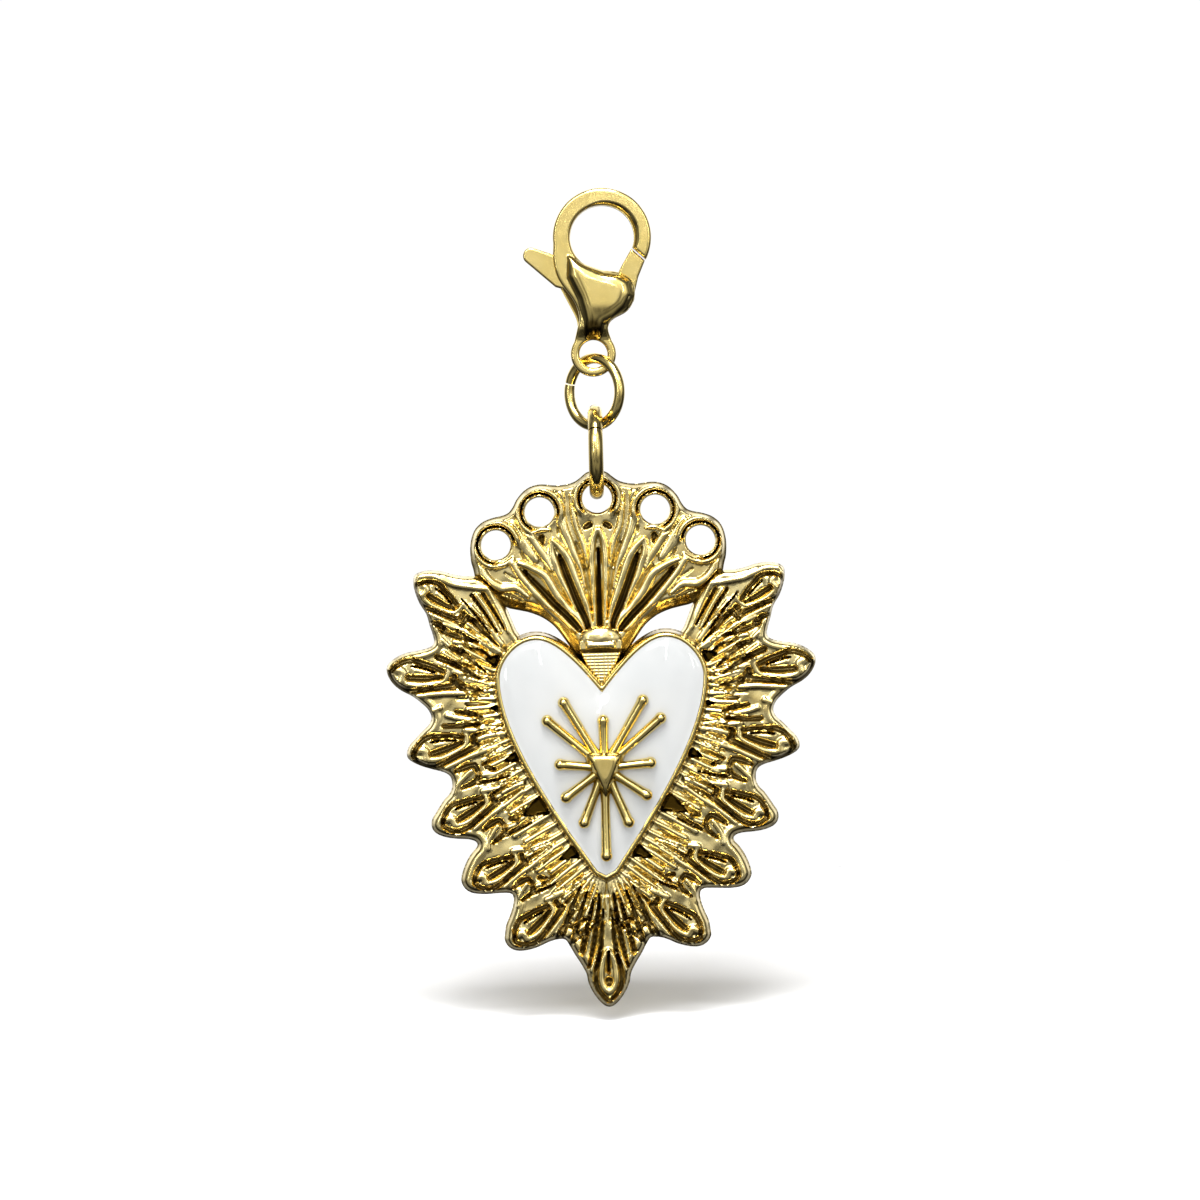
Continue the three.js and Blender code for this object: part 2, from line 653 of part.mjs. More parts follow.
// Two small dark windows beside the heart, their bases along it and their points outward.
function windowPockets(share, size) {
  const points = [heartCleft, ...heartSide(), heartTip].map(([x, z]) => new THREE.Vector2(x, z));
  const side = new THREE.SplineCurve(points);
  const edge = side.getPointAt(share);
  const way = side.getTangentAt(share);
  const at = alongLine([edge.x, edge.y], [edge.x - way.y, edge.y + way.x]);
  const half = size * 0.55;
  const outline = [at(WINDOW_MARGIN + size * 1.6, 0), at(WINDOW_MARGIN, half), at(WINDOW_MARGIN, -half)];
  const front = PLATE_FRONT - RIDGE_RISE * 2;
  return [outline, outline.map(mirrored)].map((shape) => slab(shape, PLATE_FRONT + WINDOW_DEPTH, front));
}

function makeRayFrame() {
  const tips = leafTips();
  const valleys = leafValleys();
  const ridges = tips.flatMap((tip, i) => leafRelief(tip, valleys[i], valleys[i + 1]));
  const valleyRibs = valleys.slice(1, -1).map((valley) => [
    toward(valley, burstCentre, 0.08),
    toward(valley, burstCentre, 0.36),
  ]);
  const solids = [...ridges, ...valleyRibs].map(([from, to]) => ridge(from, to));
  const plate = easedSlab(frameOutline(), PLATE_BACK, PLATE_FRONT, LEAF_EDGE_ROUND);
  const seat = slab(grown(heartOutline(), SEAT_GAP), PLATE_FRONT, PLATE_FRONT - RIDGE_RISE * 2);
  const windows = WINDOW_SHARES.flatMap((share, i) => windowPockets(share, WINDOW_SIZES[i]));
  return joined([plate, ...crownLugs(), ...solids]).subtract(joined([seat, ...windows]));
}

// The eyelets on the right and in the middle, on a circle round the flames' root.
function rightEyelets() {
  const reach = CROWN_HEIGHT + FLAME_ROOT_DROP;
  return EYELET_ANGLES.map((angle) => polar([90 - angle, reach], crownRoot));
}

function eyeletCentres() {
  const right = rightEyelets();
  return [...right, ...right.slice(1).map(mirrored)];
}

// The crown's plate: its foot, its hollow lower edge, its corner, then its scallops. The lower edge
// is drawn up by the height of the sloped wall under it.
function crownOutline(wall) {
  const scallop = EYELET_BORE + EYELET_RIM;
  const [middle, inner, outer] = rightEyelets();
  const foot = [COLLAR_HALF_WIDTH, collarTop + SEAT_GAP];
  const corner = shoulderAt(-CROWN_CORNER - SEAT_GAP, SEAT_GAP - CROWN_CORNER);
  const heel = [foot[0] * 2 - wall, foot[1] + wall * 0.1];
  const end = [corner[0] - 1.2 + wall * 0.6, corner[1] - 1.6 + wall * 1.3];
  const right = [
    [foot[0] - wall * 0.4, foot[1]],
    heel,
    ...curve(heel, between(heel, end, [0.35, 0.65]), between(heel, end, [0.53, 0.8]), end, 5),
    corner,
    shoulderAt(-SEAT_GAP, SEAT_GAP),
    ...arc(outer, scallop, -25, 92),
    ...arc(inner, scallop, -8, 128),
    ...arc(middle, scallop, 30, 75),
  ];
  return [...right, [0, scallop], ...right.map(mirrored).reverse()];
}

// How far a flame at an angle from upright runs before it meets an eyelet's rim.
function flameReach(angle) {
  const dir = [Math.sin(radians(angle)), Math.cos(radians(angle))];
  const rim = EYELET_BORE + EYELET_RIM * 0.5;
  let reach = FLAME_LENGTH;
  for (const [x, z] of eyeletCentres()) {
    const offset = [x - crownRoot[0], z - crownRoot[1]];
    const along = offset[0] * dir[0] + offset[1] * dir[1];
    const aside = offset[0] * dir[1] - offset[1] * dir[0];
    if (Math.abs(aside) < rim) {
      reach = Math.min(reach, along - Math.sqrt(rim ** 2 - aside ** 2));
    }
  }
  return reach;
}

function makeFlameCrown() {
  const step = FLAME_SPREAD_ANGLE / (FLAME_COUNT - 1);
  const flames = [];
  for (let i = 0; i < FLAME_COUNT; i += 1) {
    const angle = i * step - FLAME_SPREAD_ANGLE / 2;
    const reach = flameReach(angle);
    const start = polar([90 - angle, FLAME_ROOT_RADIUS], crownRoot);
    const end = polar([90 - angle, reach], crownRoot);
    const belly = FLAME_ROOT_RADIUS + (reach - FLAME_ROOT_RADIUS) * FLAME_BELLY_SHARE;
    const width = 2 * Math.tan(radians(step / 2)) * belly;
    flames.push(flame(start, end, width));
  }
  const rims = eyeletCentres().map((centre) => (
    ovalRing(centre, EYELET_BORE + EYELET_RIM / 2, EYELET_RIM / 2, EYELET_HALF_DEPTH, 6, 18)
  ));
  const bores = eyeletCentres().map((centre) => (
    slab(arc(centre, EYELET_BORE + EYELET_RIM / 4, 0, 340, 20), LUG_FRONT * 2, PLATE_FRONT - FLAME_RISE * 2)
  ));
  const plate = layered([
    { outline: crownOutline(0), y: LUG_FRONT },
    { outline: grown(crownOutline(CROWN_WALL), -CROWN_EDGE_ROUND), y: PLATE_FRONT },
  ]);
  return joined([joined([plate, ...flames]).subtract(joined(bores)), ...rims]);
}

function makeHeartCup() {
  const outline = heartOutline();
  const shell = easedSlab(outline, PLATE_FRONT, CUP_RIM_FRONT, CUP_RIM / 4);
  const hollow = slab(grown(outline, -CUP_RIM), CUP_FLOOR, CUP_RIM_FRONT * 2);
  return shell.subtract(hollow);
}

function starRay(end, allowance) {
  const length = distance(starCentre, end);
  const half = STAR_BAR / 2 + allowance;
  const at = alongLine(starCentre, end);
  const bar = [at(0, -half), at(length, -half), at(length, half), at(0, half)];
  const bulb = arc(at(length - STAR_BULB, 0), STAR_BULB + allowance, 0, 320, 40);
  const front = STAR_FRONT - allowance;
  return slab(bar, CUP_FLOOR, front).add(slab(bulb, CUP_FLOOR, front));
}

// The faceted boss at the star's centre: three sides, drawn down towards the lowest ray.
function boss(allowance) {
  const radius = BOSS_RADIUS + allowance * 2;
  const corners = [[150, radius], [30, radius], [-90, radius * BOSS_DRAW_SHARE]];
  const base = corners.map((corner) => polar(corner, starCentre));
  return layered([
    { outline: base, y: CUP_FLOOR },
    { outline: base, y: ENAMEL_FRONT },
    { outline: scaled(base, starCentre, BOSS_TOP_SHARE), y: BOSS_FRONT },
  ]);
}

function starSolid(allowance = 0) {
  const ends = STAR_ANGLE_SHARES.map(([angle, share]) => polar([angle, starReach * share], starCentre));
  return joined([...ends.map((end) => starRay(end, allowance)), boss(allowance)]);
}

function makeEnamel() {
  const outline = grown(heartOutline(), -CUP_RIM - ENAMEL_GAP);
  const swell = CUP_RIM_FRONT - ENAMEL_FRONT;
  const levels = ENAMEL_DOME_SHARES.map(([share, rise]) => ({
    outline: scaled(outline, heartCentre, share),
    y: CUP_RIM_FRONT - swell * rise,
  }));
  const dome = layered([
    { outline, y: CUP_FLOOR },
    { outline, y: CUP_RIM_FRONT + ENAMEL_GAP },
    ...levels,
  ]);
  return dome.subtract(starSolid(ENAMEL_GAP));
}

// The collar between the crown's foot and the heart's cleft, with a bead across it.
function makeCollar() {
  const wide = COLLAR_HALF_WIDTH;
  const neck = collarTop - COLLAR_HEIGHT;
  const wedge = [[-wide, neck], [0, heartCleft[1]], [wide, neck], [wide, collarTop], [-wide, collarTop]];
  const beadFoot = neck + COLLAR_LEDGE;
  const beadTop = beadFoot + COLLAR_BEAD * 2;
  const beadHalf = wide - COLLAR_EDGE_ROUND;
  const band = [[-beadHalf, beadFoot], [beadHalf, beadFoot], [beadHalf, beadTop], [-beadHalf, beadTop]];
  const plate = easedSlab(wedge, PLATE_FRONT, COLLAR_FRONT + COLLAR_BEAD, COLLAR_EDGE_ROUND);
  const bead = easedSlab(band, PLATE_FRONT, COLLAR_FRONT, COLLAR_BEAD * 0.6);
  const cleft = slab(grown(heartOutline(), SEAT_GAP), PLATE_FRONT * 0.5, COLLAR_FRONT * 2);
  return plate.add(bead).subtract(cleft);
}

function piece(name, solid, material) {
  const mesh = new THREE.Mesh(toGeometry(solid), material);
  mesh.name = name;
  return mesh;
}

function heldAt(z, turn, ...meshes) {
  const link = new THREE.Group();
  link.position.set(0, 0, z);
  link.rotation.z = radians(turn);
  link.add(...meshes);
  return link;
}

const clasp = new THREE.Group();
clasp.add(
  piece('clasp_body', makeClaspBody(), gold),
  piece('clasp_trigger', makeTrigger(), gold),
  piece('clasp_pivot_pin', makePivotPin(), satinGold),
  piece('clasp_spring', makeSpring(), springSteel),
);

const upperRing = heldAt(
  upperRingZ,
  -UPPER_RING_TURN_ANGLE,
  piece('upper_ring', makeRing(UPPER_RING_RADIUS, UPPER_RING_WIRE, UPPER_RING_CUT_ANGLE), gold),
);

const lowerRing = heldAt(
  lowerRingZ,
  90,
  piece('lower_ring', makeRing(LOWER_RING_RADIUS, LOWER_RING_WIRE, LOWER_RING_CUT_ANGLE), gold),
);

const pendant = heldAt(
  pendantZ,
  0,
  piece('ray_frame', makeRayFrame(), satinGold),
  piece('flame_crown', makeFlameCrown(), satinGold),
  piece('heart_cup', makeHeartCup(), gold),
  piece('enamel_fill', makeEnamel(), enamel),
  piece('star_relief', starSolid(), gold),
  piece('cleft_collar', makeCollar(), gold),
);

const charm = new THREE.Group();
charm.add(clasp, upperRing, lowerRing, pendant);

export default charm;
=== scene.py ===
"""The flaming heart charm's looks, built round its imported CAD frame."""

import math

import bmesh
import bpy
import numpy as np
from mathutils import Matrix, Vector, geometry


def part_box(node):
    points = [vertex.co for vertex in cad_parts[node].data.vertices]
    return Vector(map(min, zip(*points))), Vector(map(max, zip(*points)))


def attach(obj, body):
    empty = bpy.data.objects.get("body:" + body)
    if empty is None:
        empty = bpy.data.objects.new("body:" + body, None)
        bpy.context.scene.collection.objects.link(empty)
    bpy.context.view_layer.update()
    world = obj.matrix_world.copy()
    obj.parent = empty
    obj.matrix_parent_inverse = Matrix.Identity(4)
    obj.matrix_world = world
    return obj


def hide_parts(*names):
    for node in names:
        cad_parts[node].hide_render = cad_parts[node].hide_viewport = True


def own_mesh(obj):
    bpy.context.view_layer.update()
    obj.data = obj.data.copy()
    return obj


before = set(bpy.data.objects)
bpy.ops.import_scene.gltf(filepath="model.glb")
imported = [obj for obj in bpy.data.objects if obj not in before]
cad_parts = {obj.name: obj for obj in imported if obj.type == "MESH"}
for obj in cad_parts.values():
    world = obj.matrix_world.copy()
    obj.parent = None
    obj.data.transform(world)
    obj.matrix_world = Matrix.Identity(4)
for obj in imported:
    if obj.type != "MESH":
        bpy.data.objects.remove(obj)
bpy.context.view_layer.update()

# Everything is worked out in millimetres and made in metres.
MM = 0.001


def node_box(node):
    low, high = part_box(node)
    return np.array(low) / MM, np.array(high) / MM


# The clasp's main places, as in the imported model
HOOK_BORE = 2.13
HOOK_BAND = 1.15
HOOK_ACROSS = 0.76
PIVOT_ACROSS = 1.5
PIVOT_DROP = 1.91
EYE_DROP = 5.63
HOOK_CENTRE = np.array([HOOK_ACROSS, -math.sqrt(HOOK_BORE**2 - HOOK_ACROSS**2)])
PIVOT = HOOK_CENTRE + [PIVOT_ACROSS, -HOOK_BORE - PIVOT_DROP]
EYE_CENTRE = np.array([0.0, HOOK_CENTRE[1] - HOOK_BORE - EYE_DROP])
HOOK_TIP_ANGLE = -24


# Plan geometry, as points (x, z)
def polar(centre, angle, reach):
    turn = math.radians(angle)
    return np.array(centre, float) + reach * np.array([math.cos(turn), math.sin(turn)])


def arc(centre, radius, start, end, step):
    count = max(1, math.ceil(abs(end - start) / step))
    return [polar(centre, start + (end - start) * i / count, radius) for i in range(count + 1)]


def bezier(start, pull_a, pull_b, end, count):
    """Points along a cubic curve, without its first one."""
    a, b, c, d = (np.array(p, float) for p in (start, pull_a, pull_b, end))
    shares = np.arange(1, count + 1)[:, None] / count
    rest = 1 - shares
    return list(a * rest**3 + 3 * b * rest**2 * shares + 3 * c * rest * shares**2 + d * shares**3)


def smooth_line(points, count):
    """A spline through points, with so many steps between each pair."""
    points = np.array(points, float)
    last = len(points) - 1
    line = []
    for i in range(last):
        before, here, there, after = (points[min(max(i + k, 0), last)] for k in (-1, 0, 1, 2))
        reach = np.linalg.norm(there - here) / 3
        leave, enter = there - before, after - here
        leave = leave / max(np.linalg.norm(leave), 1e-9) * reach
        enter = enter / max(np.linalg.norm(enter), 1e-9) * reach
        line += [here] + bezier(here, here + leave, there - enter, there, count)[:-1]
    return np.array(line + [points[-1]])


def mirrored(points):
    return [np.array([-x, z]) for x, z in reversed(list(points))]


def toward(a, b, share):
    return np.array(a) + (np.array(b) - np.array(a)) * share


def turned_left(outline):
    """The outline as an array, running counterclockwise."""
    outline = np.array(outline, float)
    x, z = outline.T
    area = np.sum(x * np.roll(z, -1) - np.roll(x, -1) * z)
    return outline if area > 0 else outline[::-1]


def grown(outline, amount):
    """The outline moved outward by a distance, or inward by a negative one."""
    outline = turned_left(outline)
    ahead = np.roll(outline, -1, 0) - outline
    ahead /= np.maximum(np.linalg.norm(ahead, axis=1), 1e-9)[:, None]
    normal = np.stack([ahead[:, 1], -ahead[:, 0]], 1)
    miter = normal + np.roll(normal, 1, 0)
    miter /= np.linalg.norm(miter, axis=1)[:, None]
    share = np.maximum((miter * normal).sum(1), 0.5)
    return outline + miter * (amount / share)[:, None]


def edges(loops):
    for loop in loops:
        for a, b in zip(loop, np.roll(loop, -1, axis=0)):
            yield a, b


def nearest_on(points, loops):
    """The signed distance to the outline, positive inside it, and the nearest place on it."""
    gap = np.full(len(points), 1e9)
    place = np.zeros_like(points)
    inside = np.zeros(len(points), bool)
    x, z = points.T
    for (ax, az), (bx, bz) in edges(loops):
        ex, ez = bx - ax, bz - az
        px, pz = x - ax, z - az
        share = np.clip((px * ex + pz * ez) / max(ex * ex + ez * ez, 1e-12), 0, 1)
        qx, qz = share * ex, share * ez
        found = (px - qx) ** 2 + (pz - qz) ** 2
        better = found < gap
        gap[better] = found[better]
        place[better, 0] = ax + qx[better]
        place[better, 1] = az + qz[better]
        inside ^= ((az > z) != (bz > z)) & ((px * ez - pz * ex < 0) == (ez > 0))
    return np.where(inside, 1, -1) * np.sqrt(gap), place


def swell(points, loops):
    """A smooth kind of depth inside an outline, with no creases along its middle."""
    total = np.zeros(len(points))
    for a, b in edges(loops):
        way = b - a
        length = np.linalg.norm(way)
        if length < 1e-9:
            continue
        way = way / length
        offset = points - a
        start = -(offset @ way)
        off_line = np.maximum((offset[:, 0] * way[1] - offset[:, 1] * way[0]) ** 2, 1e-6)
        for t, sign in ((start + length, 1), (start, -1)):
            total += sign * t / (off_line * np.sqrt(t * t + off_line))
    return np.sqrt(2 / np.maximum(total, 1e-9))


# A net reaches this many cells past its outline, and a point this near to the outline moves onto it
NET_MARGIN = 1.5
SNAP_REACH = 0.35


def plan_net(loops, cell):
    """A square net cut to an outline with holes: its points, their depth inside and triangles."""
    low = loops[0].min(0) - cell * NET_MARGIN
    size = np.ceil((loops[0].max(0) + cell * NET_MARGIN - low) / cell).astype(int) + 1
    gx, gz = np.meshgrid(np.arange(size[0]), np.arange(size[1]), indexing="ij")
    points = np.stack([gx.ravel(), gz.ravel()], 1) * cell + low
    depth, place = nearest_on(points, loops)
    near = np.abs(depth) < cell * SNAP_REACH
    points[near] = place[near]
    state = np.where(near, 0, np.sign(depth)).astype(int)
    depth = np.where(near, 0, depth)
    ids = np.arange(len(points)).reshape(size)
    corners = np.stack([ids[:-1, :-1], ids[1:, :-1], ids[1:, 1:], ids[:-1, 1:]], -1).reshape(-1, 4)
    low_state, high_state = state[corners].min(1), state[corners].max(1)
    whole = corners[(low_state >= 0) & (high_state > 0)]
    doubtful = corners[(low_state == 0) & (high_state == 0)]
    middles = points[doubtful].mean(1)
    if len(middles):
        whole = np.vstack([whole, doubtful[nearest_on(middles, loops)[0] > 0]])
    cut = corners[(low_state < 0) & (high_state >= 0)]
    crossings = {}
    added = []
    faces = []
    for square in cut.tolist():
        shape = []
        for a, b in zip(square, square[1:] + square[:1]):
            if state[a] >= 0:
                shape.append(a)
            if state[a] * state[b] < 0:
                key = (min(a, b), max(a, b))
                if key not in crossings:
                    crossings[key] = len(points) + len(added)
                    share = depth[a] / (depth[a] - depth[b])
                    added.append(points[a] + (points[b] - points[a]) * share)
                shape.append(crossings[key])
        if len(shape) >= 3:
            faces.append((shape, max(state[i] for i in square) > 0))
    if added:
        added = nearest_on(np.array(added), loops)[1]
        points = np.vstack([points, added])
        depth = np.concatenate([depth, np.zeros(len(added))])
    loose = [shape for shape, sure in faces if not sure]
    kept = {}
    if loose:
        centres = np.array([points[shape].mean(0) for shape in loose])
        kept = dict(zip(map(tuple, loose), nearest_on(centres, loops)[0] > 0))
    triangles = []
    for shape, sure in faces:
        if sure or kept[tuple(shape)]:
            triangles += [(shape[0], shape[i], shape[i + 1]) for i in range(1, len(shape) - 1)]
    return points, depth, whole, np.array(triangles, int).reshape(-1, 3)


def rim_loops(triangles):
    """The open edges of a net as closed rings of point numbers, with the net on their left."""
    pairs = np.vstack([triangles[:, [0, 1]], triangles[:, [1, 2]], triangles[:, [2, 0]]])
    there = {(a, b) for a, b in pairs.tolist()}
    follow = {}
    for a, b in there:
        if (b, a) not in there:
            follow.setdefault(a, []).append(b)
    rings = []
    while follow:
        start = next(iter(follow))
        ring = []
        here = start
        while here in follow:
            ring.append(here)
            ahead = follow[here].pop()
            if not follow[here]:
                del follow[here]
            here = ahead
        rings.append(ring)
    return rings


def split_squares(squares, height):
    """Each square as two triangles, cut the way that follows the relief's ridges."""
    a, b, c, d = squares.T
    along = np.abs(height[a] - height[c]) < np.abs(height[b] - height[d])
    first = np.where(along[:, None], np.stack([a, b, c], 1), np.stack([a, b, d], 1))
    second = np.where(along[:, None], np.stack([a, c, d], 1), np.stack([b, c, d], 1))
    return np.vstack([first, second])


# A flat back's edge is eased by this much, through rings at shares of it: how far in, and how far
# short of the back
BACK_EASE = 0.14
BACK_RINGS = [(0, 1), (0.71, 0.29)]


def into_net(points, rings):
    """The way into the net from each point of its rim, square to the rim."""
    inward = np.zeros_like(points)
    for ring in rings:
        way = np.roll(points[ring], -2, 0) - np.roll(points[ring], 2, 0)
        way /= np.linalg.norm(way, axis=1)[:, None]
        inward[ring] = np.stack([-way[:, 1], way[:, 0]], 1)
    return inward


def flat_cap(points, rims, loops, step):
    """A coarse net inside the rims: its points, its triangles and each rim point's number in it."""
    links = []
    start = 0
    for rim in rims:
        links += [(start + i, start + (i + 1) % len(rim)) for i in range(len(rim))]
        start += len(rim)
    low, high = points.min(0), points.max(0)
    gx, gz = np.meshgrid(np.arange(low[0], high[0], step), np.arange(low[1], high[1], step))
    inner = np.stack([gx.ravel(), gz.ravel()], 1)
    inner = inner[nearest_on(inner, loops)[0] > step * 0.4 + BACK_EASE]
    plan = [Vector(point) for point in np.vstack([*rims, inner])]
    made, _, faces, origin, _, _ = geometry.delaunay_2d_cdt(plan, links, [], 1, 1e-7)
    flat = np.array([list(point) for point in made])
    fan = np.array(faces, int)
    (ax, az), (bx, bz), (cx, cz) = (flat[fan[:, k]].T for k in range(3))
    turn = (bx - ax) * (cz - az) - (bz - az) * (cx - ax)
    fan = np.where((turn > 0)[:, None], fan[:, ::-1], fan)
    fan = fan[(nearest_on(flat[fan].mean(1), rims)[0] > 0) & (np.abs(turn) > 1e-12)]
    numbers = {old: new for new, olds in enumerate(origin) for old in olds if old < start}
    return flat, fan, numbers


def set_at(plan, y):
    """The points of a plan, set at a depth or at one depth each."""
    return np.stack([plan[:, 0], np.broadcast_to(y, len(plan)), plan[:, 1]], 1)


def raised_solid(loops, cell, front, back, flat_back=False):
    """A closed solid over an outline: its front and back depths are functions of place and depth inside.
    Gives vertices, triangles and a value from 0 to 1 for how much painted shade the front gets at each
    vertex."""
    loops = [np.array(loop, float) for loop in loops]
    points, depth, squares, triangles = plan_net(loops, cell)
    used = np.unique(np.concatenate([squares.ravel(), triangles.ravel()]))
    number = np.full(len(points), -1)
    number[used] = np.arange(len(used))
    points, depth = points[used], depth[used]
    front_y, painted_shade = front(points, depth)
    back_y = back(points, depth)
    triangles = np.vstack([split_squares(number[squares], front_y), number[triangles]])
    triangles = triangles[(triangles != np.roll(triangles, 1, 1)).all(1)]
    rings = rim_loops(triangles)
    count = len(points)
    nets = [set_at(points, front_y)]
    faces = [triangles]
    levels = [{i: i for ring in rings for i in ring}]
    if flat_back:
        rim = np.concatenate(rings)
        inward = into_net(points, rings)
        rims = [points[ring] + inward[ring] * BACK_EASE for ring in rings]
        flat, fan, numbers = flat_cap(points, rims, loops, max(cell * 8, 0.6))
        nets.append(set_at(flat, back_y[0]))
        faces.append(fan + count)
        total = count + len(flat)
        for share, short in BACK_RINGS:
            nets.append(set_at(points[rim] + inward[rim] * BACK_EASE * share, back_y[0] - BACK_EASE * short))
            levels.append({int(v): total + i for i, v in enumerate(rim)})
            total += len(rim)
        levels.append({int(v): numbers[i] + count for i, v in enumerate(rim)})
    else:
        nets.append(set_at(points, back_y))
        faces.append(triangles[:, ::-1] + count)
        levels.append({i: i + count for ring in rings for i in ring})
    walls = []
    for upper, lower in zip(levels, levels[1:]):
        for ring in rings:
            for a, b in zip(ring, ring[1:] + ring[:1]):
                walls += [(upper[b], upper[a], lower[a]), (upper[b], lower[a], lower[b])]
    faces.append(np.array(walls, int))
    vertices = np.vstack(nets)
    values = np.zeros(len(vertices))
    values[:count] = painted_shade
    return vertices, np.vstack(faces), values


def lofted(rows):
    """A closed solid through rows of points, each a ring of the same size, with its faces outward."""
    size = len(rows[0])
    faces = []
    for r in range(len(rows) - 1):
        for k in range(size):
            a, b = r * size + k, r * size + (k + 1) % size
            faces += [(a, b + size, b), (a, a + size, b + size)]
    last = (len(rows) - 1) * size
    for k in range(1, size - 1):
        faces += [(0, k, k + 1), (last, last + k + 1, last + k)]
    vertices = np.array([point for row in rows for point in row], float)
    faces = np.array(faces)
    a, b, c = (vertices[faces[:, k]] for k in range(3))
    if np.sum(a * np.cross(b, c)) < 0:
        faces = faces[:, ::-1]
    return vertices, faces, np.zeros(len(vertices))


def eased(depth, ease):
    """How far a rounded edge falls back at a depth inside the outline."""
    share = np.clip(1 - depth / ease, 0, 1)
    return ease * (1 - np.sqrt(1 - share**2))


def smoothstep(low, high, value):
    share = np.clip((value - low) / (high - low), 0, 1)
    return share * share * (3 - 2 * share)


def merged(*shapes):
    """Several shapes as one."""
    vertices, faces, painted_shade = [], [], []
    total = 0
    for some_vertices, some_faces, some_painted_shade in shapes:
        vertices.append(some_vertices)
        faces.append(some_faces + total)
        painted_shade.append(some_painted_shade)
        total += len(some_vertices)
    return np.vstack(vertices), np.vstack(faces), np.concatenate(painted_shade)


# Pieces
def make_piece(name, shape, material, body, replaced, sharp_angle=50):
    """A piece that rides on a body, smooth but for its sharp edges and its flat back."""
    vertices, faces, painted_shade = shape
    mesh = bpy.data.meshes.new(name)
    mesh.from_pydata((vertices * MM).tolist(), [], faces.tolist())
    mesh.validate()
    mesh.update()
    # Each vertex's painted shade value goes on the mesh, where the gold materials turn it dark brown
    if len(mesh.vertices) == len(painted_shade):
        attribute = mesh.attributes.new("painted_shade", "FLOAT", "POINT")
        attribute.data.foreach_set("value", painted_shade.astype(np.float32))
    mesh.shade_smooth()
    mesh.set_sharp_from_angle(angle=math.radians(sharp_angle))
    rear = vertices[:, 1].max()
    for face in mesh.polygons:
        if all(abs(vertices[i, 1] - rear) < 1e-6 for i in face.vertices):
            face.use_smooth = False
    mesh.materials.append(material)
    piece = bpy.data.objects.new(name, mesh)
    bpy.context.scene.collection.objects.link(piece)
    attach(piece, body)
    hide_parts(*replaced)
    return piece


# Materials
def shader(name):
    made = bpy.data.materials.new(name)
    made.use_nodes = True
    tree = made.node_tree
    return made, tree.nodes, tree.links, tree.nodes["Principled BSDF"]


def noise(nodes, links, scale, detail, roughness=0.55, stretch=None, source=None):
    made = nodes.new("ShaderNodeTexNoise")
    made.inputs["Scale"].default_value = scale
    made.inputs["Detail"].default_value = detail
    made.inputs["Roughness"].default_value = roughness
    source = source or nodes.new("ShaderNodeTexCoord").outputs["Object"]
    if stretch:
        mapping = nodes.new("ShaderNodeMapping")
        mapping.inputs["Scale"].default_value = stretch
        links.new(source, mapping.inputs["Vector"])
        source = mapping.outputs["Vector"]
    links.new(source, made.inputs["Vector"])
    return made.outputs["Fac"]


def ramp(nodes, links, source, stops):
    """A colour for each value, from stops of (value, colour)."""
    made = nodes.new("ShaderNodeValToRGB")
    elements = made.color_ramp.elements
    elements[0].position, elements[0].color = stops[0][0], (*stops[0][1], 1)
    elements[1].position, elements[1].color = stops[-1][0], (*stops[-1][1], 1)
    for position, colour in stops[1:-1]:
        elements.new(position).color = (*colour, 1)
    links.new(source, made.inputs["Fac"])
    return made.outputs["Color"]


def spread(nodes, links, source, low, high):
    """The middle of a noise's values stretched to run from low to high."""
    made = nodes.new("ShaderNodeMapRange")
    made.inputs["To Min"].default_value = low
    made.inputs["To Max"].default_value = high
    made.inputs["From Min"].default_value = 0.3
    made.inputs["From Max"].default_value = 0.7
    links.new(source, made.inputs["Value"])
    return made.outputs["Result"]


def bump(nodes, links, bsdf, source, distance, strength):
    made = nodes.new("ShaderNodeBump")
    made.inputs["Distance"].default_value = distance
    made.inputs["Strength"].default_value = strength
    links.new(source, made.inputs["Height"])
    links.new(made.outputs["Normal"], bsdf.inputs["Normal"])


# The dark brown of painted shade in grooves, recesses, feet and slots
PAINTED_SHADE_BROWN = (0.075, 0.042, 0.005)


def with_painted_shade(nodes, links, colour):
    """The colour, turned to the brown of painted shade by each vertex's painted shade value."""
    painted_shade = nodes.new("ShaderNodeAttribute")
    painted_shade.attribute_name = "painted_shade"
    mixed = nodes.new("ShaderNodeMix")
    mixed.data_type = "RGBA"
    links.new(painted_shade.outputs["Fac"], mixed.inputs["Factor"])
    links.new(colour, mixed.inputs["A"])
    mixed.inputs["B"].default_value = (*PAINTED_SHADE_BROWN, 1)
    return mixed.outputs["Result"]


def polished_gold():
    """Plated gold with a slow drift of colour and fine handling marks."""
    made, nodes, links, bsdf = shader("gold_polished")
    bsdf.inputs["Metallic"].default_value = 1
    tone = noise(nodes, links, 420, 4)
    bright = ramp(nodes, links, tone, [(0.3, (0.75, 0.575, 0.185)), (0.7, (0.86, 0.68, 0.26))])
    # Painted shade turns the colour dark brown wherever a piece marks it
    links.new(with_painted_shade(nodes, links, bright), bsdf.inputs["Base Color"])
    marks = noise(nodes, links, 2600, 5, 0.7, (1, 1, 0.3))
    links.new(spread(nodes, links, marks, 0.08, 0.18), bsdf.inputs["Roughness"])
    bump(nodes, links, bsdf, marks, 0.00001, 0.25)
    return made


def cast_gold():
    """Gold over cast relief: bright crests, painted shade in the hollows and a slightly uneven skin."""
    made, nodes, links, bsdf = shader("gold_cast")
    bsdf.inputs["Metallic"].default_value = 1
    tone = noise(nodes, links, 900, 4)
    bright = ramp(nodes, links, tone, [(0.3, (0.84, 0.65, 0.25)), (0.7, (0.97, 0.82, 0.4))])
    links.new(with_painted_shade(nodes, links, bright), bsdf.inputs["Base Color"])
    skin = noise(nodes, links, 3800, 4, 0.6)
    links.new(spread(nodes, links, skin, 0.1, 0.22), bsdf.inputs["Roughness"])
    bump(nodes, links, bsdf, skin, 0.000014, 0.3)
    return made


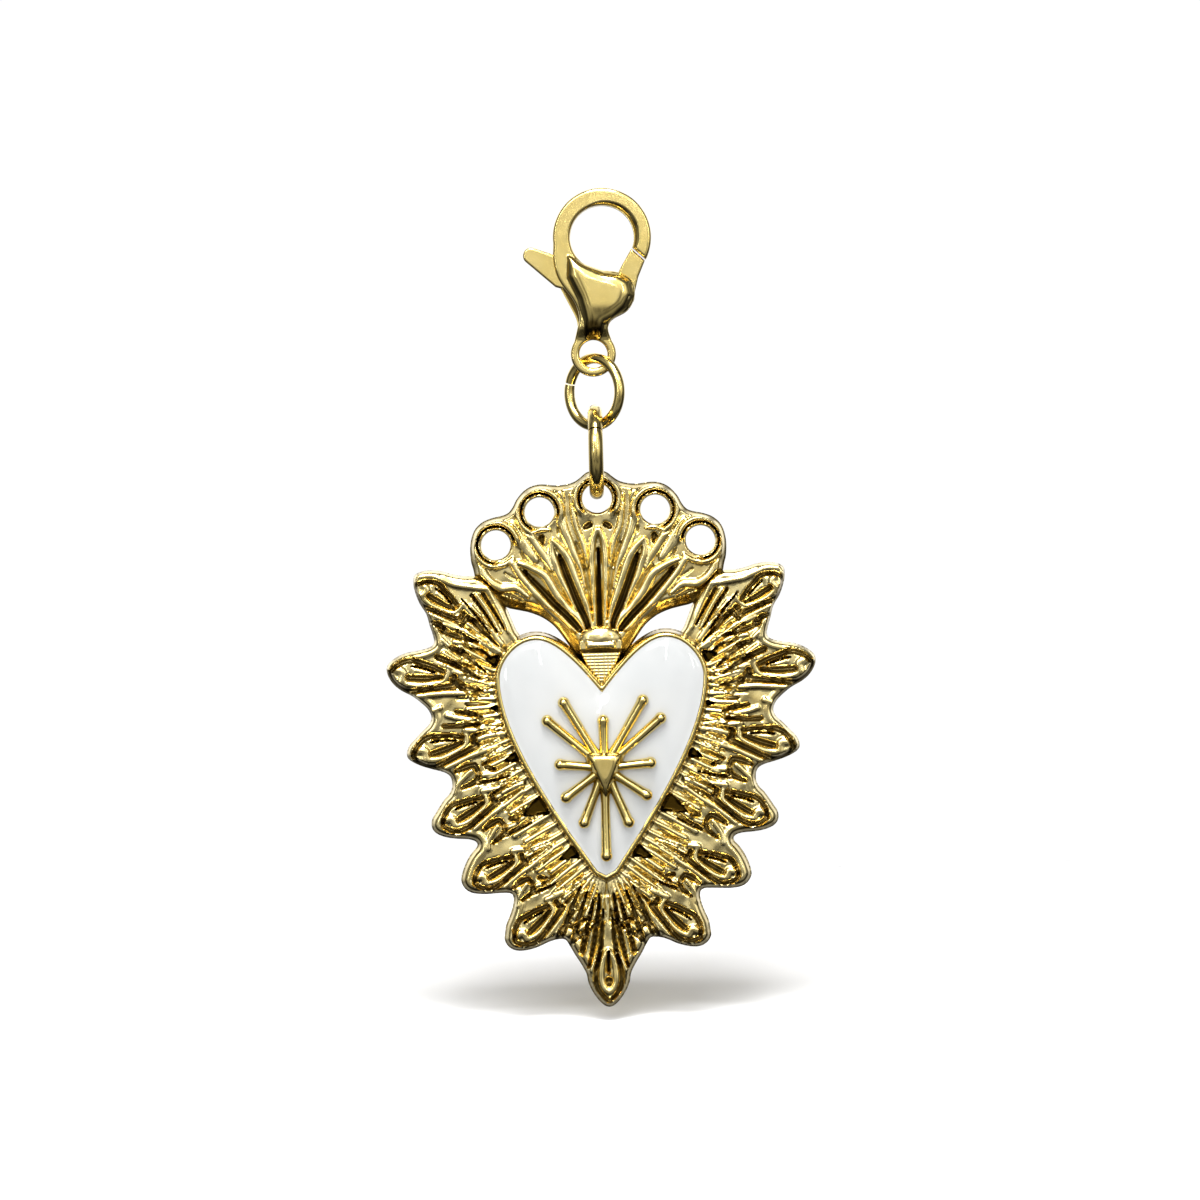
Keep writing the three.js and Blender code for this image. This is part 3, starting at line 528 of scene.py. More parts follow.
def white_enamel():
    """Glossy white enamel, very slightly mottled."""
    made, nodes, links, bsdf = shader("enamel_white")
    tone = noise(nodes, links, 260, 2)
    white = ramp(nodes, links, tone, [(0.3, (0.43, 0.44, 0.44)), (0.7, (0.46, 0.465, 0.46))])
    links.new(white, bsdf.inputs["Base Color"])
    ripple = noise(nodes, links, 500, 2)
    links.new(spread(nodes, links, ripple, 0.01, 0.03), bsdf.inputs["Roughness"])
    bump(nodes, links, bsdf, ripple, 0.00001, 0.15)
    return made


def spring_steel():
    """Bare steel strip with a grain along it."""
    made, nodes, links, bsdf = shader("spring_steel")
    bsdf.inputs["Metallic"].default_value = 1
    grain = noise(nodes, links, 3000, 4, 0.6, (1, 1, 0.15))
    grey = ramp(nodes, links, grain, [(0.3, (0.5, 0.5, 0.49)), (0.7, (0.68, 0.68, 0.67))])
    links.new(grey, bsdf.inputs["Base Color"])
    links.new(spread(nodes, links, grain, 0.28, 0.42), bsdf.inputs["Roughness"])
    return made


GOLD = polished_gold()
CAST = cast_gold()
ENAMEL = white_enamel()
STEEL = spring_steel()


# The pendant's outlines, measured from its middle eyelet
HEART_CLEFT = np.array([0, -12.53])
HEART_LOBE = np.array([4.3, -9.08])
HEART_SIDE = np.array([7.05, -11.9])
HEART_TIP = np.array([0, -25.42])
CROWN_ROOT = np.array([0, -9.35])
EYELET_BORE = 0.98
EYELET_REACH = 9.35
EYELET_ANGLES = [0, 24.4, 46.9]
# The heart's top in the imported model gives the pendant's height
PENDANT_Z = node_box("heart_cup")[1][2] - HEART_LOBE[1]

# The frame's right edge, leaf by leaf, from the crown's shoulder down to the foot
LEAF_EDGE = [
    (8.3, -5.0), (9.1, -4.98), (9.8, -4.84), (10.4, -4.65), (11.1, -4.54), (11.8, -4.6), (12.25, -4.78),
    (12.4, -5.1), (12.38, -5.7), (12.05, -6.7), (11.6, -7.45), (11.4, -8.2), (11.2, -8.85),
    (11.13, -9.42), (11.45, -9.68), (12.2, -9.88), (12.9, -9.99), (13.5, -10.2), (14.0, -10.52),
    (14.28, -10.85), (14.34, -11.2), (14.18, -11.68), (13.85, -12.15), (13.35, -12.55), (12.65, -12.93),
    (12.1, -13.36), (11.62, -13.85), (11.42, -14.39), (11.6, -14.85), (12.0, -15.22), (12.5, -15.75),
    (12.92, -16.2), (13.12, -16.68), (13.06, -17.05), (12.7, -17.34), (12.1, -17.62), (11.4, -17.84),
    (10.7, -18.04), (10.33, -18.26), (10.18, -18.55), (10.16, -19.1), (10.38, -19.55), (10.67, -19.84),
    (11.0, -20.31), (11.3, -20.78), (11.52, -21.12), (11.6, -21.52), (11.5, -21.88), (11.2, -22.17),
    (10.6, -22.4), (9.9, -22.51), (9.2, -22.56), (8.75, -22.68), (8.56, -22.88), (8.62, -23.12),
    (8.85, -23.36), (9.17, -23.8), (9.42, -24.28), (9.63, -24.85), (9.71, -25.3), (9.57, -25.7),
    (9.27, -26.02), (8.8, -26.2), (8.1, -26.25), (7.2, -26.22), (6.5, -26.23), (6.28, -26.38),
    (6.23, -26.72), (6.34, -27.25), (6.54, -27.8), (6.78, -28.37), (6.87, -28.96), (6.9, -29.35),
    (6.65, -29.8), (6.15, -30.07), (5.45, -30.07), (4.67, -29.87), (3.9, -29.53), (3.3, -29.39),
    (2.86, -29.42), (2.62, -29.74), (2.25, -30.41), (1.82, -31.1), (1.5, -31.73), (1.38, -32.34),
    (1.1, -32.96), (0.68, -33.56), (0.27, -33.92), (0, -33.99),
]
# The crown's right edge, from its foot out along its lower side and back over the eyelets
CROWN_UNDERSIDE = [
    (0.9, -10.6), (1.35, -10.6), (1.95, -10.0), (2.5, -9.2), (3.08, -8.45), (3.84, -7.88),
    (4.66, -7.53), (5.4, -7.35), (6.25, -7.12), (6.95, -6.45), (7.6, -5.65), (8.3, -5.0),
]
CROWN_SCALLOPS = [
    (8.3, -5.0), (8.38, -4.55), (8.52, -4.0), (8.54, -2.95), (8.27, -2.0), (7.74, -1.44), (7.03, -1.15),
    (6.33, -1.0), (5.94, -0.82), (5.64, -0.45), (5.38, 0.04), (4.88, 0.6), (4.36, 0.9), (3.72, 1.02),
    (2.7, 0.92), (2.0, 0.98), (1.49, 1.14), (1.1, 1.4), (0.7, 1.72), (0.25, 1.86), (0, 1.88),
]


def between(a, b, across, along):
    """A place at one share of the way across and another of the way along."""
    return np.array([a[0] + (b[0] - a[0]) * across, a[1] + (b[1] - a[1]) * along])


def heart_outline():
    """The heart's edge, as three curves on each side."""
    cleft, lobe, side, tip = HEART_CLEFT, HEART_LOBE, HEART_SIDE, HEART_TIP
    inner = bezier(cleft, between(cleft, lobe, 0.3, 0.47), between(cleft, lobe, 0.67, 1), lobe, 16)
    shoulder = bezier(lobe, between(lobe, side, 0.56, 0), between(lobe, side, 1, 0.57), side, 14)
    flank_end = between(side, tip, 0.89, 0.969)
    flank = bezier(side, between(side, tip, 0, 0.27), between(side, tip, 0.45, 0.64), flank_end, 26)
    right = inner + shoulder + flank
    return turned_left([cleft] + right + [tip] + mirrored(right))


# The frame's edge over the heart's lobe, from beside the collar out to the crown's shoulder
LOBE_MARGIN = 0.2
LOBE_START = (1.1, -9.4)
LOBE_END = [(5.6, -8.7), (6.2, -7.2), (6.9, -6.0), (7.7, -5.2)]
LOBE_SIDE = 5.5
LOBE_FOOT = -11.9


def frame_outline():
    heart = grown(heart_outline(), LOBE_MARGIN)
    lobe = [p for p in heart if LOBE_START[0] < p[0] < LOBE_SIDE and p[1] > LOBE_FOOT]
    lobe.sort(key=lambda p: p[0])
    right = [np.array(LOBE_START), *lobe, *np.array(LOBE_END)]
    edge = list(smooth_line(LEAF_EDGE, 3))
    return turned_left(right + edge + mirrored(right + edge[:-1]))


def eyelets():
    right = [polar(CROWN_ROOT, 90 - angle, EYELET_REACH) for angle in EYELET_ANGLES]
    return right + [np.array([-x, z]) for x, z in right[1:]]


def crown_outline():
    right = list(smooth_line(CROWN_UNDERSIDE, 3))[:-1] + list(smooth_line(CROWN_SCALLOPS, 4))
    return turned_left(right + mirrored(right[:-1]))


# Relief: rounded ridges over a floor, and grooves cut into it, which get painted shade
def stroke_height(points, strokes, power=1.0):
    """The height at each point of the highest of many rounded strokes.
    A stroke is (start, end, half width at both, rise at both)."""
    height = np.zeros(len(points))
    x, z = points.T
    for (ax, az), (bx, bz), (wide_a, wide_b), (rise_a, rise_b) in strokes:
        wide = max(wide_a, wide_b)
        near = np.flatnonzero(
            (x > min(ax, bx) - wide) & (x < max(ax, bx) + wide)
            & (z > min(az, bz) - wide) & (z < max(az, bz) + wide)
        )
        ex, ez = bx - ax, bz - az
        px, pz = x[near] - ax, z[near] - az
        share = np.clip((px * ex + pz * ez) / max(ex * ex + ez * ez, 1e-9), 0, 1)
        gap = (px - share * ex) ** 2 + (pz - share * ez) ** 2
        half = wide_a + (wide_b - wide_a) * share
        rise = rise_a + (rise_b - rise_a) * share
        made = rise * np.clip(1 - gap / half**2, 0, 1) ** power
        height[near] = np.maximum(height[near], made)
    return height


def polyline(points, widths, rises):
    """Strokes along a line, with half widths and rises that change evenly along it."""
    line = smooth_line(points, 4) if len(points) > 2 else np.array(points, float)
    steps = np.linspace(0, 1, len(line))
    widths = np.interp(steps, np.linspace(0, 1, len(widths)), widths)
    rises = np.interp(steps, np.linspace(0, 1, len(rises)), rises)
    return [
        (line[i], line[i + 1], (widths[i], widths[i + 1]), (rises[i], rises[i + 1]))
        for i in range(len(line) - 1)
    ]


def both_sides(strokes):
    return strokes + [((-a[0], a[1]), (-b[0], b[1]), w, h) for a, b, w, h in strokes]


def pit_depth(points, shapes, soft=0.12):
    """1 inside flat-floored pits with these outlines, falling to 0 at their edges."""
    mask = np.zeros(len(points))
    for shape in shapes:
        for side in (1, -1):
            outline = turned_left(np.array(shape) * [side, 1])
            low, high = outline.min(0), outline.max(0)
            near = np.flatnonzero(((points > low) & (points < high)).all(1))
            if len(near):
                inside = nearest_on(points[near], [outline])[0]
                mask[near] = np.maximum(mask[near], smoothstep(0, soft, inside))
    return mask


# The burst's relief. A leaf's lines are (along, across) from its teardrop's outer end, in millimetres
# on a leaf whose teardrop is 3.45 mm long: along runs towards the heart, across runs up.
PATTERN_LENGTH = 3.45
# A leaf's axis runs from its teardrop's outer end to its inner one
LEAF_AXES = [
    ((11.9, -5.72), (9.4, -7.4)), ((13.7, -11.42), (10.18, -11.74)), ((12.28, -16.85), (8.95, -15.95)),
    ((10.48, -21.45), (7.73, -19.92)), ((8.48, -25.35), (5.85, -23.93)), ((5.87, -29.24), (3.53, -27.16)),
]
LEAF_LOWEST = [-2.1, -1.7]
LEAF_GROOVES = [
    ([(-0.42, 0.03), (-0.07, 0.48), (0.41, 0.84), (1.0, 1.0), (1.56, 0.86), (2.26, 0.7), (3.09, 0.38)],
     [0.17, 0.2, 0.22, 0.2]),
    ([(-0.42, 0.03), (-0.09, -0.51), (0.59, -0.95), (1.32, -0.99), (2.32, -0.79), (3.23, -0.62),
      (3.85, -0.45)],
     [0.17, 0.2, 0.21, 0.23, 0.26]),
    ([(3.8, 0.12), (3.75, -0.5)], [0.2, 0.26]),
    ([(0.83, -0.16), (1.9, -0.12), (2.95, 0.0)], [0.24, 0.24, 0.16]),
    ([(1.0, 0.6), (1.7, 0.52), (2.6, 0.27)], [0.07, 0.1, 0.07]),
    ([(2.04, -1.73), (2.81, -1.64), (3.35, -1.66)], [0.16, 0.26, 0.2]),
    ([(3.4, -1.73), (3.45, -2.25), (3.2, -2.7), (2.15, -2.92)], [0.2, 0.2, 0.24, 0.14]),
    ([(3.25, -2.86), (4.11, -3.0), (5.4, -3.05)], [0.18, 0.12, 0.05]),
    ([(4.15, -2.05), (4.6, -2.35)], [0.2, 0.14]),
]
LEAF_SCORES = [
    [(4.1, 0.75), (5.2, 0.5), (6.2, 0.3)], [(4.3, 0.2), (5.3, 0.05), (6.3, -0.05)],
    [(4.2, -0.75), (5.2, -0.62), (6.2, -0.5)], [(4.0, -1.35), (5.0, -1.25), (6.0, -1.0)],
    [(4.6, -2.75), (5.6, -2.6)], [(4.7, -1.75), (5.4, -1.7)],
]
LEAF_RIDGES = [
    ([(0.5, -0.5), (1.28, -0.66), (2.12, -0.55), (3.0, -0.33), (3.29, -0.02), (3.37, 0.45)], 0.22, 0.12),
    ([(0.05, 0.3), (0.45, 0.1), (0.4, -0.4)], 0.34, 0.16),
    ([(1.3, 0.33), (2.45, 0.15)], 0.17, 0.05),
    ([(1.47, -1.34), (2.52, -1.16), (3.36, -1.03), (4.45, -0.95), (5.9, -0.75)], 0.24, 0.14),
    ([(3.01, -1.99), (2.42, -2.31), (1.89, -2.64), (1.6, -3.1)], 0.22, 0.12),
    ([(3.5, -2.45), (4.3, -2.6), (5.8, -2.75)], 0.22, 0.12),
    ([(3.4, 0.75), (4.2, 0.45), (5.8, 0.1)], 0.26, 0.14),
    ([(4.0, -0.2), (5.0, -0.2), (6.2, -0.25)], 0.24, 0.12),
]
# The first leaf, the lines over the second leaf and the foot leaf have patterns of their own
UPPER_GROOVES = [
    ([(9.23, -8.21), (8.8, -7.8), (7.8, -8.75), (6.82, -9.7)], [0.2, 0.26, 0.16, 0.07]),
    ([(10.67, -8.59), (9.6, -9.0), (8.24, -9.36)], [0.12, 0.22, 0.14]),
    ([(7.75, -6.22), (7.0, -7.5), (6.38, -8.58)], [0.14, 0.11, 0.07]),
    ([(8.52, -6.26), (7.65, -7.5), (6.86, -8.8)], [0.13, 0.12, 0.07]),
    ([(9.2, -6.5), (8.2, -7.7), (7.3, -8.9)], [0.05, 0.09, 0.05]),
    ([(10.9, -10.35), (9.55, -10.95), (8.15, -11.85)], [0.22, 0.24, 0.1]),
    ([(10.0, -9.75), (9.25, -10.05), (8.3, -10.9), (7.7, -11.4)], [0.16, 0.26, 0.16, 0.06]),
    ([(9.75, -12.0), (8.9, -12.5), (7.9, -12.65)], [0.3, 0.28, 0.06]),
    ([(9.0, -9.75), (8.0, -9.95), (7.45, -10.4)], [0.05, 0.12, 0.1]),
    ([(10.55, -14.95), (9.4, -14.95), (8.2, -14.92)], [0.2, 0.2, 0.08]),
    ([(9.75, -14.0), (8.8, -14.15), (8.0, -14.42)], [0.14, 0.22, 0.08]),
]
UPPER_RIDGES = [
    ([(12.15, -5.2), (12.1, -5.99), (11.7, -6.85), (11.2, -7.3), (11.1, -8.0), (10.85, -8.7),
      (10.7, -9.5)], 0.24, 0.12),
    ([(12.0, -4.98), (11.11, -4.94), (10.17, -5.33), (9.52, -5.58), (7.5, -5.87)], 0.24, 0.12),
    ([(10.36, -8.18), (8.59, -8.88), (6.75, -10.1)], 0.26, 0.16),
    ([(7.4, -5.93), (6.7, -7.4), (6.1, -8.8)], 0.16, 0.12),
    ([(8.2, -6.27), (7.4, -7.5), (6.75, -8.75)], 0.2, 0.13),
    ([(8.6, -7.09), (7.5, -8.4), (6.6, -9.6)], 0.25, 0.12),
    ([(10.5, -10.07), (9.21, -10.93), (8.1, -11.62)], 0.2, 0.16),
    ([(9.82, -11.34), (8.23, -11.97), (7.4, -12.35)], 0.24, 0.16),
    ([(8.95, -10.17), (8.38, -10.95), (7.5, -11.6)], 0.2, 0.12),
    ([(9.77, -9.37), (8.64, -9.52), (7.4, -10.3)], 0.22, 0.14),
]
FOOT_GROOVES = [
    ([(0, -33.55), (0.55, -33.0), (0.85, -32.3), (0.82, -31.4), (0.55, -30.3), (0.36, -28.6),
      (0.25, -27.4)],
     [0.14, 0.17, 0.19, 0.17, 0.15, 0.07]),
    ([(0, -30.25), (0, -31.65)], [0.11, 0.13]),
    ([(0, -32.15), (0, -32.3)], [0.25, 0.25]),
    ([(1.32, -31.3), (0.95, -29.7), (0.6, -27.6), (0.5, -26.4)], [0.1, 0.19, 0.16, 0.06]),
    ([(1.75, -30.3), (1.35, -28.6), (0.9, -26.7)], [0.2, 0.2, 0.06]),
    ([(2.35, -29.6), (1.9, -28.0), (1.3, -26.2)], [0.16, 0.2, 0.06]),
    ([(3.0, -29.1), (2.5, -27.6), (1.75, -25.9)], [0.14, 0.2, 0.07]),
]
FOOT_RIDGES = [
    ([(0, -30.2), (0.4, -30.9), (0.5, -32.1), (0.3, -32.7), (0, -32.95)], 0.25, 0.14),
    ([(0.2, -26.6), (0.5, -29.6), (1.15, -31.5)], 0.17, 0.14),
    ([(0.82, -27.1), (1.25, -28.7), (1.7, -30.6)], 0.17, 0.14),
    ([(0.95, -25.6), (1.7, -27.6), (2.5, -29.0)], 0.18, 0.14),
    ([(1.45, -25.2), (2.5, -27.0), (3.4, -28.9)], 0.18, 0.14),
]
WINDOWS = [
    [(7.85, -10.5), (6.75, -10.25), (6.85, -11.4)], [(7.7, -13.85), (6.75, -13.5), (6.7, -14.2)],
    [(6.75, -17.4), (5.85, -16.65), (5.5, -17.5)], [(5.65, -21.1), (4.2, -19.5), (3.4, -21.0)],
    [(3.25, -24.1), (2.1, -22.9), (1.35, -23.95)],
]
FAN_OUTER = [
    (9.6, -6.3), (9.4, -7.7), (9.3, -11.8), (8.4, -15.9), (7.1, -19.7), (5.3, -23.6), (3.1, -26.8),
    (0, -29.6),
]
FAN_INNER = [
    (6.2, -8.6), (6.75, -9.9), (7.1, -12.2), (6.55, -15.3), (5.1, -18.45), (2.75, -22.2), (0.95, -24.9),
    (0, -25.7),
]
FAN_LINES = 6
FRAME_TOP = -0.42
FRAME_DIP = 0.46
WINDOW_FLOOR = 0.45


def leaf_lines(lines, axis):
    """A leaf's lines set along its own axis."""
    outer, inner = (np.array(end, float) for end in axis)
    length = np.linalg.norm(inner - outer)
    way = (inner - outer) / length
    up = np.array([-way[1], way[0]])
    up = up if up[1] > 0 else -up
    scale = length / PATTERN_LENGTH
    return [outer + (way * s + up * t) * scale for s, t in lines], scale


def heart_fan():
    """Ridges and grooves, by turns, that run in from the leaves and narrow towards the heart."""
    ridges, grooves = [], []
    for i in range(1, len(FAN_OUTER) - 1):
        for k in range(FAN_LINES):
            share = k / FAN_LINES
            wave = math.sin(5.3 * i + 2.1 * k)
            start = toward(FAN_OUTER[i], FAN_OUTER[i + 1], share)
            end = toward(FAN_INNER[i], FAN_INNER[i + 1], share)
            start = toward(start, end, 0.08 + 0.14 * wave)
            ridges += polyline([start, end], [0.24, 0.15], [0.17 + 0.05 * wave, 0.1])
            share += 0.5 / FAN_LINES
            start = toward(FAN_OUTER[i], FAN_OUTER[i + 1], share)
            end = toward(FAN_INNER[i], FAN_INNER[i + 1], share)
            start = toward(start, end, 0.1 - 0.2 * wave)
            grooves += polyline([start, toward(start, end, 0.75)], [0.13, 0.04], [0.75 + 0.25 * wave, 0.3])
    return ridges, grooves


def frame_strokes():
    ridges, grooves = heart_fan()
    scores = []
    for number, axis in enumerate(LEAF_AXES):
        for line, widths in LEAF_GROOVES:
            # The first two leaves have no room for the pattern's lowest grooves
            if number < 2 and min(across for _, across in line) < LEAF_LOWEST[number]:
                continue
            placed, scale = leaf_lines(line, axis)
            grooves += polyline(placed, [w * scale for w in widths], [1])
        for line, half, rise in LEAF_RIDGES:
            placed, scale = leaf_lines(line, axis)
            ridges += polyline(placed, [half * scale], [rise])
        for line in LEAF_SCORES:
            scores += polyline(leaf_lines(line, axis)[0], [0.05, 0.08, 0.05], [1])
    for line, widths in UPPER_GROOVES + FOOT_GROOVES:
        grooves += polyline(line, widths, [1])
    for line, half, rise in UPPER_RIDGES + FOOT_RIDGES:
        ridges += polyline(line, [half], [rise])
    return both_sides(ridges), both_sides(grooves), both_sides(scores)


def uneven(points, size):
    """A gentle unevenness of hand-finished casting, from -1 to 1."""
    x, z = points.T / size
    return (np.sin(x * 2.1 + 1.7 * np.sin(z * 1.3)) + np.sin(z * 2.7 - 1.4 * np.sin(x * 1.9 + 2))) / 2


def frame_front(points, depth):
    ridges, grooves, scores = frame_strokes()
    ridge = stroke_height(points, ridges, 0.7)
    cut = stroke_height(points, grooves, 0.8)
    score = stroke_height(points, scores)
    pits = pit_depth(points, WINDOWS)
    # The foot's side is seen more than the top's
    wall_width = 0.2 + 0.12 * smoothstep(-12, -24, points[:, 1])
    rim = 0.1 * (1 - np.clip(np.abs(depth - wall_width - 0.22) / 0.22, 0, 1) ** 2)
    height = np.maximum(ridge * 1.3, rim) + 0.014 * uneven(points, 0.6)
    y = FRAME_TOP - height + FRAME_DIP * cut + 0.13 * score * (1 - cut)
    y = y + (WINDOW_FLOOR - y) * pits
    wall = 1 - smoothstep(0, 1, depth / wall_width)
    y = y + (0.4 - y) * wall
    # Painted shade: dark brown in the grooves, fully dark on the window pits' floors in place of the shadow
    # seen through the windows, lighter along the scored lines and half dark on the side wall
    painted_shade = np.maximum(0.9 * smoothstep(0.4, 0.95, cut), pits)
    painted_shade = np.maximum(painted_shade, 0.35 * score) * (1 - wall) + 0.55 * wall
    return y, painted_shade


def level(depth):
    def made(points, _):
        return np.full(len(points), float(depth))
    return made


def make_frame():
    shape = raised_solid([frame_outline()], 0.085, frame_front, level(0.8), flat_back=True)
    return make_piece("burst_casting", shape, CAST, "pendant", ["ray_frame"], 60)


# The crown's relief, on its right side
CROWN_RIDGES = [
    ([(0.1, -2.1), (0.36, -2.9), (0.46, -4.2), (0.4, -6.5), (0.32, -8.8)],
     [0.2, 0.24, 0.24, 0.18, 0.12], 0.3),
    ([(3.05, -2.75), (2.5, -3.3), (2.0, -4.05), (1.37, -5.8), (0.86, -7.2), (0.6, -8.3), (0.57, -8.9)],
     [0.2, 0.3, 0.3, 0.26, 0.2, 0.14], 0.34),
    ([(3.1, -2.8), (3.12, -3.6), (2.9, -4.3), (2.6, -5.2), (2.15, -6.1), (1.7, -7.1), (1.2, -8.1)],
     [0.2, 0.28, 0.28, 0.22, 0.16, 0.1], 0.3),
    ([(5.35, -4.2), (4.6, -4.5), (3.6, -5.1), (2.95, -6.2), (2.1, -7.34), (1.35, -8.1), (1.05, -8.9)],
     [0.22, 0.3, 0.34, 0.32, 0.28, 0.2], 0.34),
    ([(5.75, -4.2), (5.15, -5.15), (4.3, -6.2), (3.4, -7.2), (2.4, -8.2), (1.65, -8.85)],
     [0.26, 0.28, 0.28, 0.24, 0.14], 0.3),
    ([(7.95, -3.9), (7.55, -5.2), (6.6, -5.85), (5.6, -5.85), (4.75, -6.45)],
     [0.2, 0.4, 0.36, 0.3, 0.16], 0.28),
    ([(5.7, -3.9), (6.3, -4.3), (7.0, -4.35), (7.6, -4.15)], [0.14, 0.18, 0.18, 0.14], 0.2),
    ([(2.5, 0.3), (2.38, -1.6), (1.8, -3.2), (1.2, -4.7), (0.95, -6.0)],
     [0.34, 0.36, 0.3, 0.16, 0.1], 0.26),
    ([(1.68, 0.2), (1.52, -1.6), (1.0, -3.1), (0.82, -4.6)], [0.2, 0.22, 0.22, 0.12], 0.3),
    ([(5.75, -1.7), (5.1, -2.8), (4.25, -4.0)], [0.36, 0.42, 0.3], 0.2),
    ([(5.1, -1.5), (4.45, -2.5), (3.55, -3.85), (3.15, -4.7)], [0.24, 0.3, 0.34, 0.14], 0.3),
    ([(4.35, -2.2), (3.75, -2.0), (3.2, -2.05)], [0.12, 0.16, 0.12], 0.24),
]
CROWN_GROOVES = [
    ([(0, -3.35), (0, -5.5), (0, -8.85)], [0.12, 0.2, 0.2]),
    ([(2.6, -3.75), (2.42, -4.4), (2.05, -5.43), (1.45, -7.04), (0.92, -8.14), (0.8, -8.95)],
     [0.14, 0.24, 0.28, 0.3, 0.2]),
    ([(4.95, -4.75), (4.6, -5.2), (3.85, -6.02), (3.05, -6.93), (2.11, -7.85), (1.35, -8.75)],
     [0.14, 0.26, 0.32, 0.32, 0.28]),
    ([(1.46, -3.0), (1.1, -3.7), (0.85, -4.9), (0.62, -6.6), (0.48, -8.2)], [0.16, 0.22, 0.2, 0.16, 0.08]),
    ([(3.6, -4.55), (3.05, -5.2), (2.45, -6.3), (1.85, -7.2)], [0.12, 0.16, 0.14, 0.07]),
    ([(6.9, -6.2), (6.0, -6.3), (5.1, -6.7)], [0.1, 0.22, 0.12]),
    ([(6.25, -4.85), (5.9, -5.1), (5.4, -5.4)], [0.1, 0.16, 0.06]),
    ([(0.55, -1.75), (0.8, -1.9)], [0.3, 0.26]),
    ([(2.62, -2.0), (2.62, -2.3)], [0.2, 0.16]),
    ([(3.75, -2.55), (3.7, -3.0)], [0.3, 0.16]),
    ([(5.2, -3.5), (4.9, -4.1)], [0.06, 0.12]),
]
CROWN_SHADE = [1, 1, 1, 0.55, 0.45, 0.7, 0.3, 0.9, 0.45, 0.9, 0.3]
CROWN_TOP = -0.42
CROWN_DIP = 0.4


def crown_front(points, depth):
    x, z = points.T
    ridges, grooves = [], []
    for line, widths, rise in CROWN_RIDGES:
        ridges += polyline(line, widths, [rise])
    for (line, widths), shade in zip(CROWN_GROOVES, CROWN_SHADE):
        grooves += polyline(line, [0.8 * width for width in widths], [shade])
    height = 0.9 * stroke_height(points, both_sides(ridges), 0.5)
    cut = stroke_height(points, both_sides(grooves))
    bore = np.full(len(points), 1e9)
    outward = np.zeros(len(points))
    for centre in eyelets():
        offset = points - centre
        found = np.linalg.norm(offset, axis=1)
        near = found < bore
        bore[near] = found[near]
        out = (centre - CROWN_ROOT) / np.linalg.norm(centre - CROWN_ROOT)
        outward[near] = (offset[near] @ out) / np.maximum(found[near], 1e-6)
    outer_side = smoothstep(-0.85, -0.5, outward)
    collar = (1 - smoothstep(1.6, 1.8, bore)) * outer_side
    outer_rim = 0.34 * np.sqrt(np.clip(1 - ((bore - 1.47) / 0.22) ** 2, 0, 1))
    inner_rim = 0.16 * np.sqrt(np.clip(1 - ((bore - 1.1) / 0.12) ** 2, 0, 1))
    height = height * (1 - collar) + np.maximum(outer_rim, inner_rim) * collar
    gutter = np.clip(1 - ((bore - 1.24) / 0.08) ** 2, 0, 1) * outer_side
    cut = np.maximum(cut * smoothstep(1.0, 1.25, bore), gutter * 0.8)
    height = height + 0.015 * uneven(points, 0.6)
    y = CROWN_TOP - height + CROWN_DIP * cut
    y = y + 0.16 * (1 - smoothstep(EYELET_BORE, EYELET_BORE + 0.12, bore))
    # The underside's wall is broad, and the scallops' walls are narrow
    under = smoothstep(-5.6, -6.6, z)
    wall_width = 0.34 + 0.45 * under
    away = np.where(bore < 1.3, 9.0, depth)
    wall = 1 - smoothstep(0, 1, away / wall_width)
    y = y + (0.3 - y) * wall ** 0.8
    # Painted shade: dark brown in the grooves, darker on the side wall towards the underside, and a light
    # shade on the low ground between the ridges
    painted_shade = 0.95 * smoothstep(0.3, 0.85, cut) * (1 - wall) + (0.6 + 0.35 * under) * wall
    floor = (1 - smoothstep(0.0, 0.12, height)) * (1 - wall) * 0.25
    return y, np.maximum(painted_shade, floor)


def make_crown():
    bores = [np.array(arc(c, EYELET_BORE, 0, 350, 10))[::-1] for c in eyelets()]
    shape = raised_solid([crown_outline()] + bores, 0.07, crown_front, level(0.6), flat_back=True)
    return make_piece("flame_casting", shape, CAST, "pendant", ["flame_crown"], 60)


# Heart, enamel, star and collar
CUP_RIM = 0.3
CUP_FRONT = -1.75
CUP_SKIRT = 0.3


def make_cup():
    heart = heart_outline()
    outer = grown(heart, CUP_SKIRT)
    hole = grown(heart, -CUP_RIM)[::-1]

    def front(points, depth):
        inside = nearest_on(points, [heart])[0]
        middle = CUP_RIM / 2
        crest = 0.14 * np.sqrt(np.clip(1 - ((inside - middle) / (middle + 0.01)) ** 2, 0, 1))
        skirt = (1 - smoothstep(-CUP_SKIRT, 0, inside)) * 1.2
        # The skirt below the rim's outer edge gets painted shade where the rim meets the frame
        return CUP_FRONT + 0.14 - crest + skirt, 0.75 * (1 - smoothstep(-0.1, 0.02, inside))

    shape = raised_solid([outer, hole], 0.075, front, level(-0.2))
    return make_piece("heart_rim", shape, GOLD, "pendant", ["heart_cup"])


def make_enamel():
    outline = grown(heart_outline(), -CUP_RIM + 0.02)

    def front(points, depth):
        bulge = swell(points, [outline])
        share = np.clip(bulge / 2.6, 0, 1)
        dome = 0.46 * (1 - (1 - share) ** 2.2)
        meniscus = 0.05 * (1 - smoothstep(0, 0.3, depth))
        return -1.64 - dome * smoothstep(0, 0.4, depth + 0.1) - meniscus, np.zeros(len(points))

    shape = raised_solid([outline], 0.12, front, level(-0.9))
    return make_piece("enamel_dome", shape, ENAMEL, "pendant", ["enamel_fill"])


